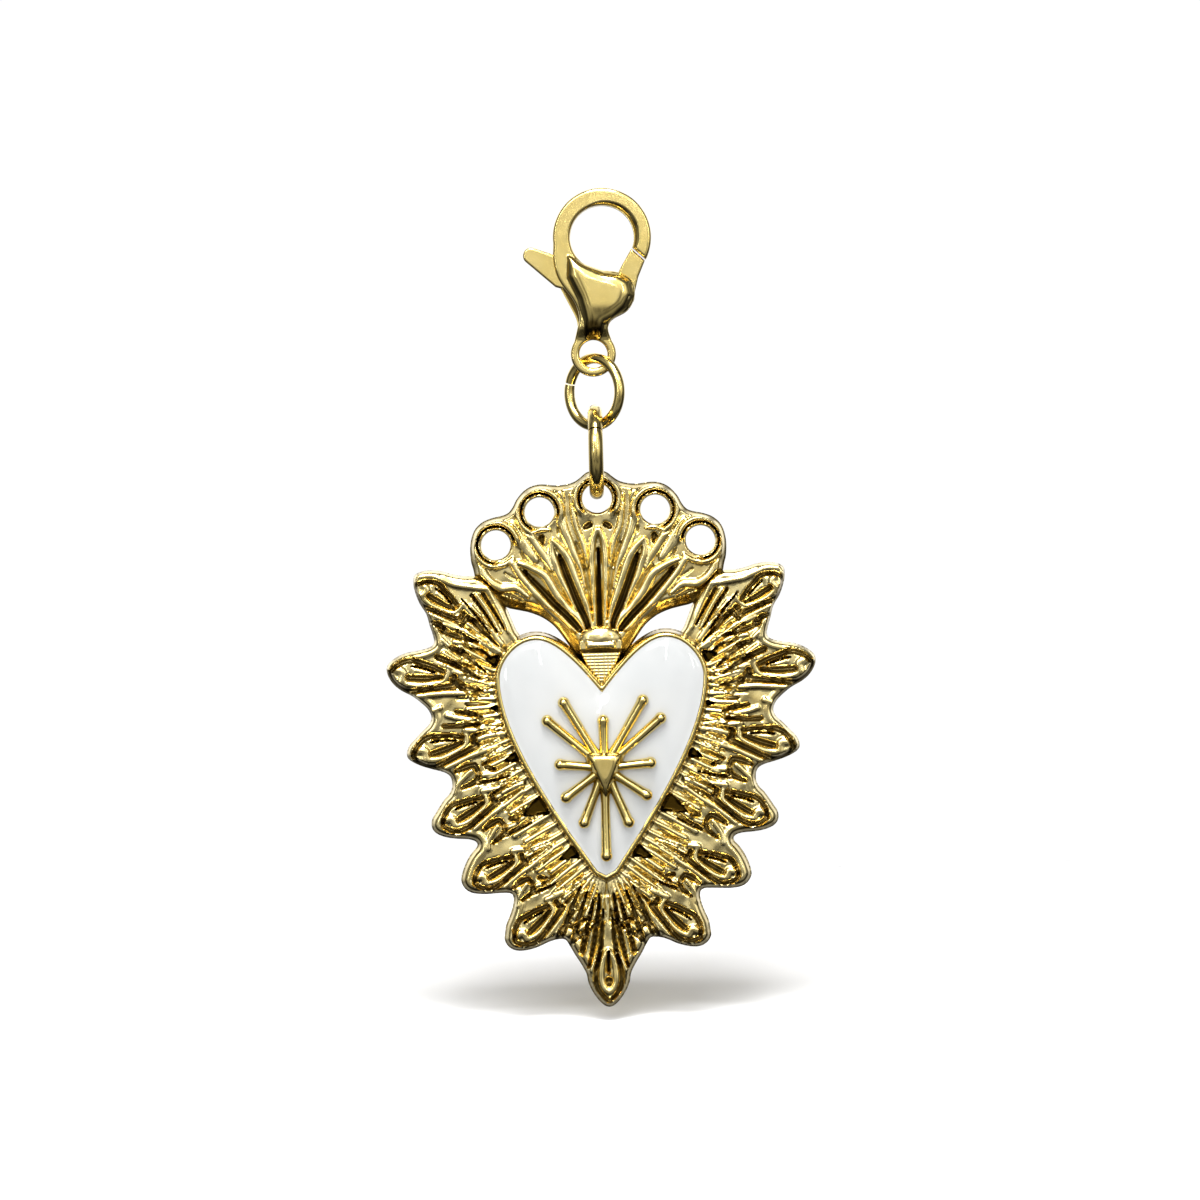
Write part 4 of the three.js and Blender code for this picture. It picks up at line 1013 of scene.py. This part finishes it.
STAR_CENTRE = np.array([0.05, -17.95])
STAR_REACH = 6.12
STAR_RAYS = [
    (120.7, 0.9), (139.2, 0.87), (90.3, 0.58), (59.1, 0.91), (40.2, 0.88), (5, 0.57), (-34, 0.61),
    (-67.3, 0.71), (-90.1, 1.02), (-111.8, 0.7), (-143.7, 0.59), (174.4, 0.55),
]
STAR_BED = -1.9
STAR_BAR = 0.37
STAR_BULB = 0.42
STAR_FOOT = -1.0
STAR_SIDES = 14


def star_ray(angle, length):
    """A half-round bar with a round bulb at its end, and painted shade along its foot."""
    way = polar((0, 0), angle, 1)
    side = np.array([-way[1], way[0]])
    stations = [
        (0.2, STAR_BAR), (length * 0.4, STAR_BAR * 0.85), (length - 2.2 * STAR_BULB, STAR_BAR * 0.97),
    ]
    for turn in range(-26, 92, 13):
        reach = STAR_BULB * math.sin(math.radians(turn))
        stations.append((length - STAR_BULB + reach, max(STAR_BULB * math.cos(math.radians(turn)), 0.01)))
    rows = []
    for along, half in stations:
        centre = STAR_CENTRE + way * along
        row = []
        for k in range(STAR_SIDES + 1):
            turn = math.pi * k / STAR_SIDES
            x, z = centre + side * half * math.cos(turn)
            row.append((x, STAR_BED - 0.12 - (0.22 + half * 1.25) * math.sin(turn) ** 0.8, z))
        for flank in (-half, half):
            x, z = centre + side * flank
            row.append((x, STAR_FOOT, z))
        rows.append(row)
    vertices, faces, _ = lofted(rows)
    painted_foot_shade = [0.8 if k == 0 or k >= STAR_SIDES else 0.0 for k in range(len(rows[0]))]
    return vertices, faces, np.array(painted_foot_shade * len(rows))


BOSS_CORNERS = [(-1.5, -16.75), (1.65, -16.8), (0.09, -20.5)]
BOSS_ROUND = 0.16
BOSS_EDGE = -2.05
BOSS_RISE = 1.05


def star_boss():
    """The three-sided dome that the rays meet in."""
    outline = []
    for k in range(3):
        before, here, after = (np.array(BOSS_CORNERS[(k + i) % 3]) for i in (-1, 0, 1))
        start, end = toward(here, before, BOSS_ROUND), toward(here, after, BOSS_ROUND)
        outline += [start, *bezier(start, here, here, end, 5)]
    outline = turned_left(outline)

    def front(points, depth):
        share = np.clip(swell(points, [outline]) / 0.52, 0, 1)
        # The dome's edge gets painted shade where it meets the enamel
        return BOSS_EDGE - BOSS_RISE * (1 - (1 - share) ** 2), 0.8 * (1 - smoothstep(0.02, 0.12, depth))

    return raised_solid([outline], 0.07, front, level(STAR_FOOT), flat_back=True)


def make_star():
    """Twelve bars with bulbs round a three-sided dome."""
    rays = [star_ray(angle, STAR_REACH * share) for angle, share in STAR_RAYS]
    shape = merged(*rays, star_boss())
    return make_piece("star_rays", shape, GOLD, "pendant", ["star_relief"], 40)


BEAD_Z = -9.8
BEAD_HALF = 0.26


def make_collar():
    top = smooth_line([
        (1.45, -9.75), (1.38, -9.2), (0.95, -8.75), (0, -8.52), (-0.95, -8.75), (-1.38, -9.2),
        (-1.45, -9.75),
    ], 5)
    outline = turned_left([(-1.42, -10.2), (-0.95, -11.2), (0, -12.5), (0.95, -11.2), (1.42, -10.2), *top])

    def front(points, depth):
        x, z = points.T
        half = BEAD_HALF * (0.85 + 0.35 * np.clip(np.abs(x) / 0.95, 0, 1) ** 2)
        bead = np.sqrt(np.clip(1 - ((z - BEAD_Z) / half) ** 2, 0, 1))
        bead = 0.42 + 0.3 * bead * np.sqrt(np.clip(1 - (np.abs(x) / 1.02) ** 6, 0, 1))
        bead = np.where(np.abs(z - BEAD_Z) < half, bead, 0)
        ball = 0.66 * np.sqrt(np.clip(1 - (x / 1.5) ** 2 - ((z + 9.35) / 0.88) ** 2, 0, 1))
        hatch = np.sin((x * 0.8 + z) * 15) * np.sin((z - x * 0.8) * 15)
        wedge = np.where(z < BEAD_Z, 0.34 - 0.03 * hatch - 0.2 * np.abs(x), 0)
        height = np.maximum(np.maximum(bead, ball), wedge)
        under = np.clip(1 - ((z + 10.2) / 0.12) ** 2, 0, 1)
        y = -0.95 - height + 0.22 * under + eased(depth, 0.16)
        # Painted shade in the notch under the bead, and a light painted shade where the ball stands out
        return y, np.clip(0.8 * under + 0.18 * (ball > bead), 0, 1)

    shape = raised_solid([outline], 0.045, front, level(-0.2), flat_back=True)
    return make_piece("collar_casting", shape, CAST, "pendant", ["cleft_collar"])


# Rings: each one's node and body, its mean radius, half its wire, its cut's angle and its turn
RINGS = {
    "upper_jump_ring": ("upper_ring", "upper_link", 2.25, 0.35, 164, -42),
    "lower_jump_ring": ("lower_ring", "lower_link", 2.68, 0.49, 150, 90),
}
RING_CUT = 0.1
RING_STEPS = 120
RING_SIDES = 20


def ring_shape(radius, half_wire, cut_angle):
    """A cut ring in the XZ plane. The wire's ends at the cut are slightly flattened."""
    start = math.radians(cut_angle) + RING_CUT / radius / 2
    sweep = 2 * math.pi - RING_CUT / radius
    rows = []
    for i in range(RING_STEPS + 1):
        angle = start + sweep * i / RING_STEPS
        half = half_wire * (1 - 0.06 * math.exp(-min(i, RING_STEPS - i) / 1.5))
        row = []
        for k in range(RING_SIDES):
            turn = 2 * math.pi * k / RING_SIDES
            reach = radius + half * math.cos(turn)
            row.append((reach * math.cos(angle), half * math.sin(turn), reach * math.sin(angle)))
        rows.append(row)
    return lofted(rows)


def hung(shape, z, turn):
    """A shape made about the origin, turned about the upright axis and set at a height."""
    vertices, faces, painted_shade = shape
    c, s = math.cos(math.radians(turn)), math.sin(math.radians(turn))
    spin = np.array([[c, -s, 0], [s, c, 0], [0, 0, 1]])
    return vertices @ spin.T + [0, 0, z], faces, painted_shade


def make_rings():
    for name, (node, body, radius, half_wire, cut_angle, turn) in RINGS.items():
        low, high = node_box(node)
        shape = hung(ring_shape(radius, half_wire, cut_angle), (low[2] + high[2]) / 2, turn)
        make_piece(name, shape, GOLD, body, [node])


# The pendant's pieces are made about its middle eyelet and lowered to its place
for make in (make_frame, make_crown, make_cup, make_enamel, make_star, make_collar):
    make().data.transform(Matrix.Translation((0, 0, PENDANT_Z * MM)))
make_rings()


# The clasp
CLASP_HALF = 0.8
SLOT_HALF = 0.43
EYE_RADIUS = 1.22
EYE_HALF_BAND = 0.29
EYE_HALF_DEPTH = 0.4
CHEEK_RISE = 0.6
TIP_SLANT = 4
LEVER_HALF = 0.36
LEVER_OPENING = 38
FLANK_INSET = 0.42


def about(centre, *places):
    """Places that are measured from a centre."""
    return [centre + np.array(place) for place in places]


HOOK_OUTER = HOOK_BORE + HOOK_BAND - 0.003
EYE_BORE = EYE_RADIUS - EYE_HALF_BAND
EYE_OUTER = EYE_RADIUS + EYE_HALF_BAND
LEVER_HEEL = HOOK_CENTRE + [0.1 - HOOK_OUTER, -3.23]


def clasp_outline(inset):
    """The clasp's side. The front one's flank is set in, so that the slot's mouth shows beside it."""
    outer = HOOK_OUTER
    flank = smooth_line([
        polar(HOOK_CENTRE, 186, outer),
        *about(HOOK_CENTRE, (-outer, -1.61), (0.21 - outer + inset * 0.3, -2.79)),
        *about(EYE_CENTRE, (-1.58 + inset, 3.42), (-1.08 + inset * 0.5, 2.35), (-1.02, 1.75)),
        polar(EYE_CENTRE, 146, EYE_OUTER),
    ], 5)
    right = smooth_line([
        polar(EYE_CENTRE, 34, EYE_OUTER), *about(EYE_CENTRE, (1.02, 1.7), (1.3, 2.25)),
        *about(PIVOT, (0.1, -0.86), (0.6, 0.12), (0.4, 1.13), (-0.31, 1.63)),
        *about(HOOK_CENTRE, (0.04, -HOOK_BORE - 0.08)),
    ], 4)
    return turned_left([
        *arc(HOOK_CENTRE, outer, HOOK_TIP_ANGLE - TIP_SLANT, 182, 4), *flank,
        *arc(EYE_CENTRE, EYE_OUTER, 154, 386, 8), *right,
        *arc(HOOK_CENTRE, HOOK_BORE, 236, HOOK_TIP_ANGLE + TIP_SLANT, 4),
    ])


def cheek_outline():
    """The swelling between the hook and the neck."""
    return turned_left([
        *about(HOOK_CENTRE, (-2.34, -1.11), (-1.36, -1.63), (0.04, -HOOK_BORE - 0.15)),
        *about(PIVOT, (-0.36, 1.56), (0.32, 1.08), (0.5, 0.13), (0.04, -0.75), (-0.91, -1.63)),
        *about(EYE_CENTRE, (0.8, 1.9), (0.55, 1.02), (-0.55, 1.02), (-0.6, 2.2), (-0.98, 3.65)),
        *about(HOOK_CENTRE, (-2.42, -2.61)),
    ])


def near_eye(points):
    """0 on the clasp's neck, rising to 1 on the eye."""
    return smoothstep(EYE_CENTRE[1] + 1.85, EYE_CENTRE[1] + 0.9, points[:, 1])


def clasp_face(points, depth):
    """How far the clasp's face stands from its middle plane: a flat hook and a swelling cheek."""
    from_bore = np.linalg.norm(points - HOOK_CENTRE, axis=1) - HOOK_BORE
    offset = points - HOOK_CENTRE
    turn = np.arctan2(offset[:, 1], offset[:, 0]) - math.radians(25)
    # The bevel inside the hook is widest at the right and dies out at the left
    width = 0.12 + 0.3 * np.clip(np.cos(turn), 0, 1)
    bevel = 0.8 * width * np.clip(1 - from_bore / width, 0, 1)
    cheek = cheek_outline()
    inside = nearest_on(points, [cheek])[0]
    bulge = np.clip(swell(points, [cheek]) / 0.8, 0, 1)
    share = np.where(inside > 0, 1 - (1 - bulge) ** 2.6, 0)
    # The cheek is highest at its upper left and falls away to the neck, and the neck to the eye
    fall = 0.32 * smoothstep(-6.4, -9.2, points[:, 1])
    eye_fall = (CLASP_HALF - EYE_HALF_DEPTH) * near_eye(points)
    return CLASP_HALF - eye_fall - eased(depth, 0.2) - bevel * (1 - share) + (CHEEK_RISE - fall) * share


def clasp_half(side):
    """The clasp in front of the slot, where side is -1, or behind it, where side is 1."""
    def inner(points):
        return SLOT_HALF * (1 - near_eye(points)) - 0.01 * near_eye(points)

    def near(points, depth):
        if side < 0:
            # The cheek gets a painted dark reflection where it falls to the neck
            from_neck = np.linalg.norm((points - EYE_CENTRE - [0, 1.55]) / [0.7, 0.85], axis=1)
            return -clasp_face(points, depth), 0.92 * (1 - smoothstep(0.6, 1.2, from_neck))
        # The face inside the slot gets painted shade, all but its edge
        return inner(points), 0.95 * smoothstep(0.05, 0.14, depth)

    def far(points, depth):
        return clasp_face(points, depth) if side > 0 else -inner(points)

    bore = np.array(arc(EYE_CENTRE, EYE_BORE, 0, 352, 8))[::-1]
    return raised_solid([clasp_outline(FLANK_INSET if side < 0 else 0), bore], 0.06, near, far)


def slot_filler(outline):
    """What joins the two cheeks where the lever doesn't pass."""
    def near(points, _):
        return np.full(len(points), -SLOT_HALF - 0.02), np.zeros(len(points))

    return raised_solid([turned_left(outline)], 0.12, near, level(SLOT_HALF + 0.02))


def make_clasp():
    arch = [
        *arc(HOOK_CENTRE, HOOK_OUTER - 0.01, HOOK_TIP_ANGLE - TIP_SLANT, 194, 5),
        *arc(HOOK_CENTRE, HOOK_BORE + 0.01, 200, HOOK_TIP_ANGLE + TIP_SLANT, 5),
    ]
    neck = about(
        EYE_CENTRE, (-0.85, 1.7), (-0.9, 1.5), (-0.9, 1.3), (0.9, 1.3), (0.95, 1.75), (1.2, 2.25),
    )
    shape = merged(clasp_half(-1), clasp_half(1), slot_filler(arch), slot_filler(neck))
    return make_piece("clasp_casting", shape, GOLD, "clasp", ["clasp_body"])


TAB_RADIUS = 0.54
GATE_GAP = 0.1
HINGE_RADIUS = 0.58
PIN_BORE = 0.33


def lever_outline():
    """The thumb tab, the arm over the spring, the hinge and the gate, which stops short of the hook's tip."""
    tab = HOOK_CENTRE + [-HOOK_OUTER - 1.48, -1.11]
    inner = polar(HOOK_CENTRE, HOOK_TIP_ANGLE + TIP_SLANT, HOOK_BORE)
    outer = polar(HOOK_CENTRE, HOOK_TIP_ANGLE - TIP_SLANT, HOOK_OUTER)
    way = (outer - inner) / np.linalg.norm(outer - inner)
    gap = np.array([way[1], -way[0]]) * GATE_GAP
    gap = gap if gap[1] < 0 else -gap
    return turned_left([
        *arc(tab, TAB_RADIUS, 235, 75, 12),
        *about(HOOK_CENTRE, (-HOOK_OUTER - 0.23, -0.99), (-1.96, -1.76)),
        *about(PIVOT, (-1.56, 1.41), (-0.54, 1.53), (-0.28, 2.05)), inner + gap, outer + gap,
        *about(PIVOT, (0.86, 1.33)), *arc(PIVOT, HINGE_RADIUS, 15, -110, 12), LEVER_HEEL,
    ])


def make_lever():
    """The lever with eased edges, from its thumb tab to the gate."""
    def near(points, depth):
        return eased(depth, 0.12) - LEVER_HALF, np.zeros(len(points))

    def far(points, depth):
        return LEVER_HALF - eased(depth, 0.12)

    bore = np.array(arc(PIVOT, PIN_BORE, 0, 345, 15))[::-1]
    shape = raised_solid([lever_outline(), bore], 0.05, near, far)
    return make_piece("clasp_lever", shape, GOLD, "trigger", ["clasp_trigger"])


def make_rivet():
    """The lever's pin, with a shallow dome and a turned line at each end."""
    profile = [(-1.13, 0.12), (-1.12, 0.2), (-1.07, 0.26), (-1.05, 0.24), (-1.0, 0.3), (-0.4, 0.3)]
    profile += [(-y, radius) for y, radius in reversed(profile)]
    rows = [[(x, y, z) for x, z in arc(PIVOT, radius, 0, 345, 15)] for y, radius in profile]
    return make_piece("pivot_rivet", lofted(rows), CAST, "clasp", ["clasp_pivot_pin"], 40)


# The spring's places, as reaches from the pin and shares of the lever's opening
SPRING_REACHES = [1.39, 2.61, 3.0, 3.1, 2.84, 2.07, 1.41]
SPRING_SHARES = [1.23, 1.05, 0.97, 0.79, 0.62, 0.41, 0.68]
SPRING_SECTION = [
    (-0.06, -0.25), (-0.06, 0.25), (-0.03, 0.275), (0.03, 0.275), (0.06, 0.25), (0.06, -0.25),
    (0.03, -0.275), (-0.03, -0.275),
]


def make_spring():
    """A bent leaf with eased edges, made in one shape only, though the real leaf flattens as the lever opens.
    """
    arm = LEVER_HEEL - PIVOT
    start = math.degrees(math.atan2(arm[1], arm[0]))
    places = zip(SPRING_REACHES, SPRING_SHARES)
    line = smooth_line([polar(PIVOT, start + LEVER_OPENING * share, reach) for reach, share in places], 4)
    rows = []
    for i, point in enumerate(line):
        way = line[min(i + 1, len(line) - 1)] - line[max(i - 1, 0)]
        way = way / np.linalg.norm(way)
        rows.append([(point[0] - way[1] * off, y, point[1] + way[0] * off) for off, y in SPRING_SECTION])
    piece = make_piece("spring_leaf", lofted(rows), STEEL, "clasp", ["clasp_spring"], 30)
    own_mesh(piece)
    return piece


make_clasp()
make_lever()
make_rivet()
make_spring()


# Stage, light and camera
CHARM_MIDDLE = Vector((0, 0, -27))
FLOOR_Z = -54.3
FLOOR_SLOPE = 0.12
FLOOR_FRONT = -160
FLOOR_BACK = 60
FLOOR_HALF_WIDTH = 160
ROOM_RADIUS = 2500
ROOM_GLOW = 1.15
WORLD_GLOW = 1.02
# Each soft box: azimuth, elevation, distance, width, height and power in watts
SOFTBOXES = {
    "key": (-14, 34, 330, 200, 80, 0.36),
    "overhead": (0, 60, 300, 130, 110, 0.95),
    "left_strip": (-34, 14, 300, 7, 160, 0.06),
    "front_strip": (2, 25, 300, 7, 150, 0.04),
    "right_strip": (30, 22, 300, 7, 160, 0.06),
}
CAMERA_ROLL = 1.43
CAMERA_LENS = 180
CAMERA_SENSOR = 36
CAMERA_PLACE = (0.03, -26.17)
VIEW_WIDTH = 80
VIEW_DEPTH = -0.5


def make_floor():
    """A plain pale floor that rises a little towards the back."""
    corners = [(-1, FLOOR_FRONT), (1, FLOOR_FRONT), (1, FLOOR_BACK), (-1, FLOOR_BACK)]
    vertices = np.array([(side * FLOOR_HALF_WIDTH, y, FLOOR_Z + FLOOR_SLOPE * y) for side, y in corners])
    mesh = bpy.data.meshes.new("floor")
    mesh.from_pydata((vertices * MM).tolist(), [], [(0, 1, 2, 3)])
    made, nodes, links, bsdf = shader("floor_white")
    tone = noise(nodes, links, 6, 2)
    pale = ramp(nodes, links, tone, [(0.3, (0.87, 0.87, 0.87)), (0.7, (0.9, 0.9, 0.9))])
    links.new(pale, bsdf.inputs["Base Color"])
    bsdf.inputs["Roughness"].default_value = 0.9
    bsdf.inputs["Specular IOR Level"].default_value = 0.1
    mesh.materials.append(made)
    floor = bpy.data.objects.new("floor", mesh)
    bpy.context.scene.collection.objects.link(floor)
    floor.visible_glossy = False


def make_softbox(name, azimuth, elevation, distance, width, height, power):
    """An area light that looks at the charm from a direction; azimuth 0 is the camera's side."""
    a, e = math.radians(azimuth), math.radians(elevation)
    way = Vector((math.sin(a) * math.cos(e), -math.cos(a) * math.cos(e), math.sin(e)))
    lamp = bpy.data.lights.new(name, "AREA")
    lamp.shape = "RECTANGLE"
    lamp.size, lamp.size_y = width * MM, height * MM
    lamp.energy = power
    box = bpy.data.objects.new(name, lamp)
    box.location = (CHARM_MIDDLE + way * distance) * MM
    box.rotation_mode = "QUATERNION"
    box.rotation_quaternion = way.to_track_quat("Z", "Y")
    bpy.context.scene.collection.objects.link(box)
    box.visible_camera = False


def facing(nodes, links, source, way, stops):
    """A grey that depends on how far a direction points along a way."""
    dot = nodes.new("ShaderNodeVectorMath")
    dot.operation = "DOT_PRODUCT"
    dot.inputs[1].default_value = way
    links.new(source, dot.inputs[0])
    share = nodes.new("ShaderNodeMapRange")
    share.inputs["From Min"].default_value = -1
    links.new(dot.outputs["Value"], share.inputs["Value"])
    return ramp(nodes, links, share.outputs["Result"], [(at, (grey, grey, grey)) for at, grey in stops])


def product(nodes, links, first, second):
    made = nodes.new("ShaderNodeMix")
    made.data_type = "RGBA"
    made.blend_type = "MULTIPLY"
    made.inputs["Factor"].default_value = 1
    links.new(first, made.inputs["A"])
    links.new(second, made.inputs["B"])
    return made.outputs["Result"]


# How bright the room is by its patches, from the back (0) to the front (1) and from its foot to its top
PATCH_STOPS = [(0.4, (0.25, 0.25, 0.25)), (0.5, (0.8, 0.8, 0.8)), (0.58, (1, 1, 1))]
FRONT_STOPS = [
    (0, 1.3), (0.14, 0.8), (0.32, 0.16), (0.55, 0.08), (0.68, 0.36), (0.8, 0.94), (0.92, 1), (1, 0.76),
]
HEIGHT_STOPS = [(0, 0.1), (0.4, 0.38), (0.5, 0.98), (0.7, 1.6), (1, 1.6)]


def make_room():
    """A room bright in front and behind, dark at the sides and patchy all round, which the metal mirrors."""
    mesh = bpy.data.meshes.new("room")
    work = bmesh.new()
    bmesh.ops.create_icosphere(work, subdivisions=3, radius=ROOM_RADIUS * MM)
    work.to_mesh(mesh)
    work.free()
    made, nodes, links, bsdf = shader("room_glow")
    place = nodes.new("ShaderNodeTexCoord").outputs["Object"]
    unit = nodes.new("ShaderNodeVectorMath")
    unit.operation = "NORMALIZE"
    links.new(place, unit.inputs[0])
    way = unit.outputs["Vector"]
    patches = ramp(nodes, links, noise(nodes, links, 3.2, 2, 0.5, source=way), PATCH_STOPS)
    front = facing(nodes, links, way, (0, -1, 0), FRONT_STOPS)
    height = facing(nodes, links, way, (0, 0, 1), HEIGHT_STOPS)
    glow = product(nodes, links, product(nodes, links, front, height), patches)
    bsdf.inputs["Base Color"].default_value = (0, 0, 0, 1)
    bsdf.inputs["Specular IOR Level"].default_value = 0
    links.new(glow, bsdf.inputs["Emission Color"])
    bsdf.inputs["Emission Strength"].default_value = ROOM_GLOW
    mesh.materials.append(made)
    room = bpy.data.objects.new("room", mesh)
    bpy.context.scene.collection.objects.link(room)
    room.visible_camera = False


def make_light():
    """A white world, broad soft boxes in front and overhead, and narrow ones for thin glints."""
    world = bpy.data.worlds.new("studio")
    world.use_nodes = True
    background = world.node_tree.nodes["Background"]
    background.inputs["Color"].default_value = (1, 1, 1, 1)
    background.inputs["Strength"].default_value = WORLD_GLOW
    bpy.context.scene.world = world
    for name, setting in SOFTBOXES.items():
        make_softbox(name, *setting)


def make_camera():
    """Front on, rolled slightly so that the charm's foot leans to the right as in the photograph."""
    roll = math.radians(CAMERA_ROLL)
    distance = CAMERA_LENS * VIEW_WIDTH / CAMERA_SENSOR
    right = Vector((math.cos(roll), 0, -math.sin(roll)))
    up = Vector((math.sin(roll), 0, math.cos(roll)))
    back = Vector((0, -1, 0))
    data = bpy.data.cameras.new("camera")
    data.lens = CAMERA_LENS
    data.sensor_width = CAMERA_SENSOR
    data.clip_start, data.clip_end = 0.01, 10
    camera = bpy.data.objects.new("camera", data)
    turn = Matrix((right, up, back)).transposed().to_4x4()
    place = Vector((CAMERA_PLACE[0], VIEW_DEPTH - distance, CAMERA_PLACE[1]))
    camera.matrix_world = Matrix.Translation(place * MM) @ turn
    bpy.context.scene.collection.objects.link(camera)
    bpy.context.scene.camera = camera
    bpy.context.scene.view_settings.view_transform = "Standard"


make_floor()
make_room()
make_light()
make_camera()
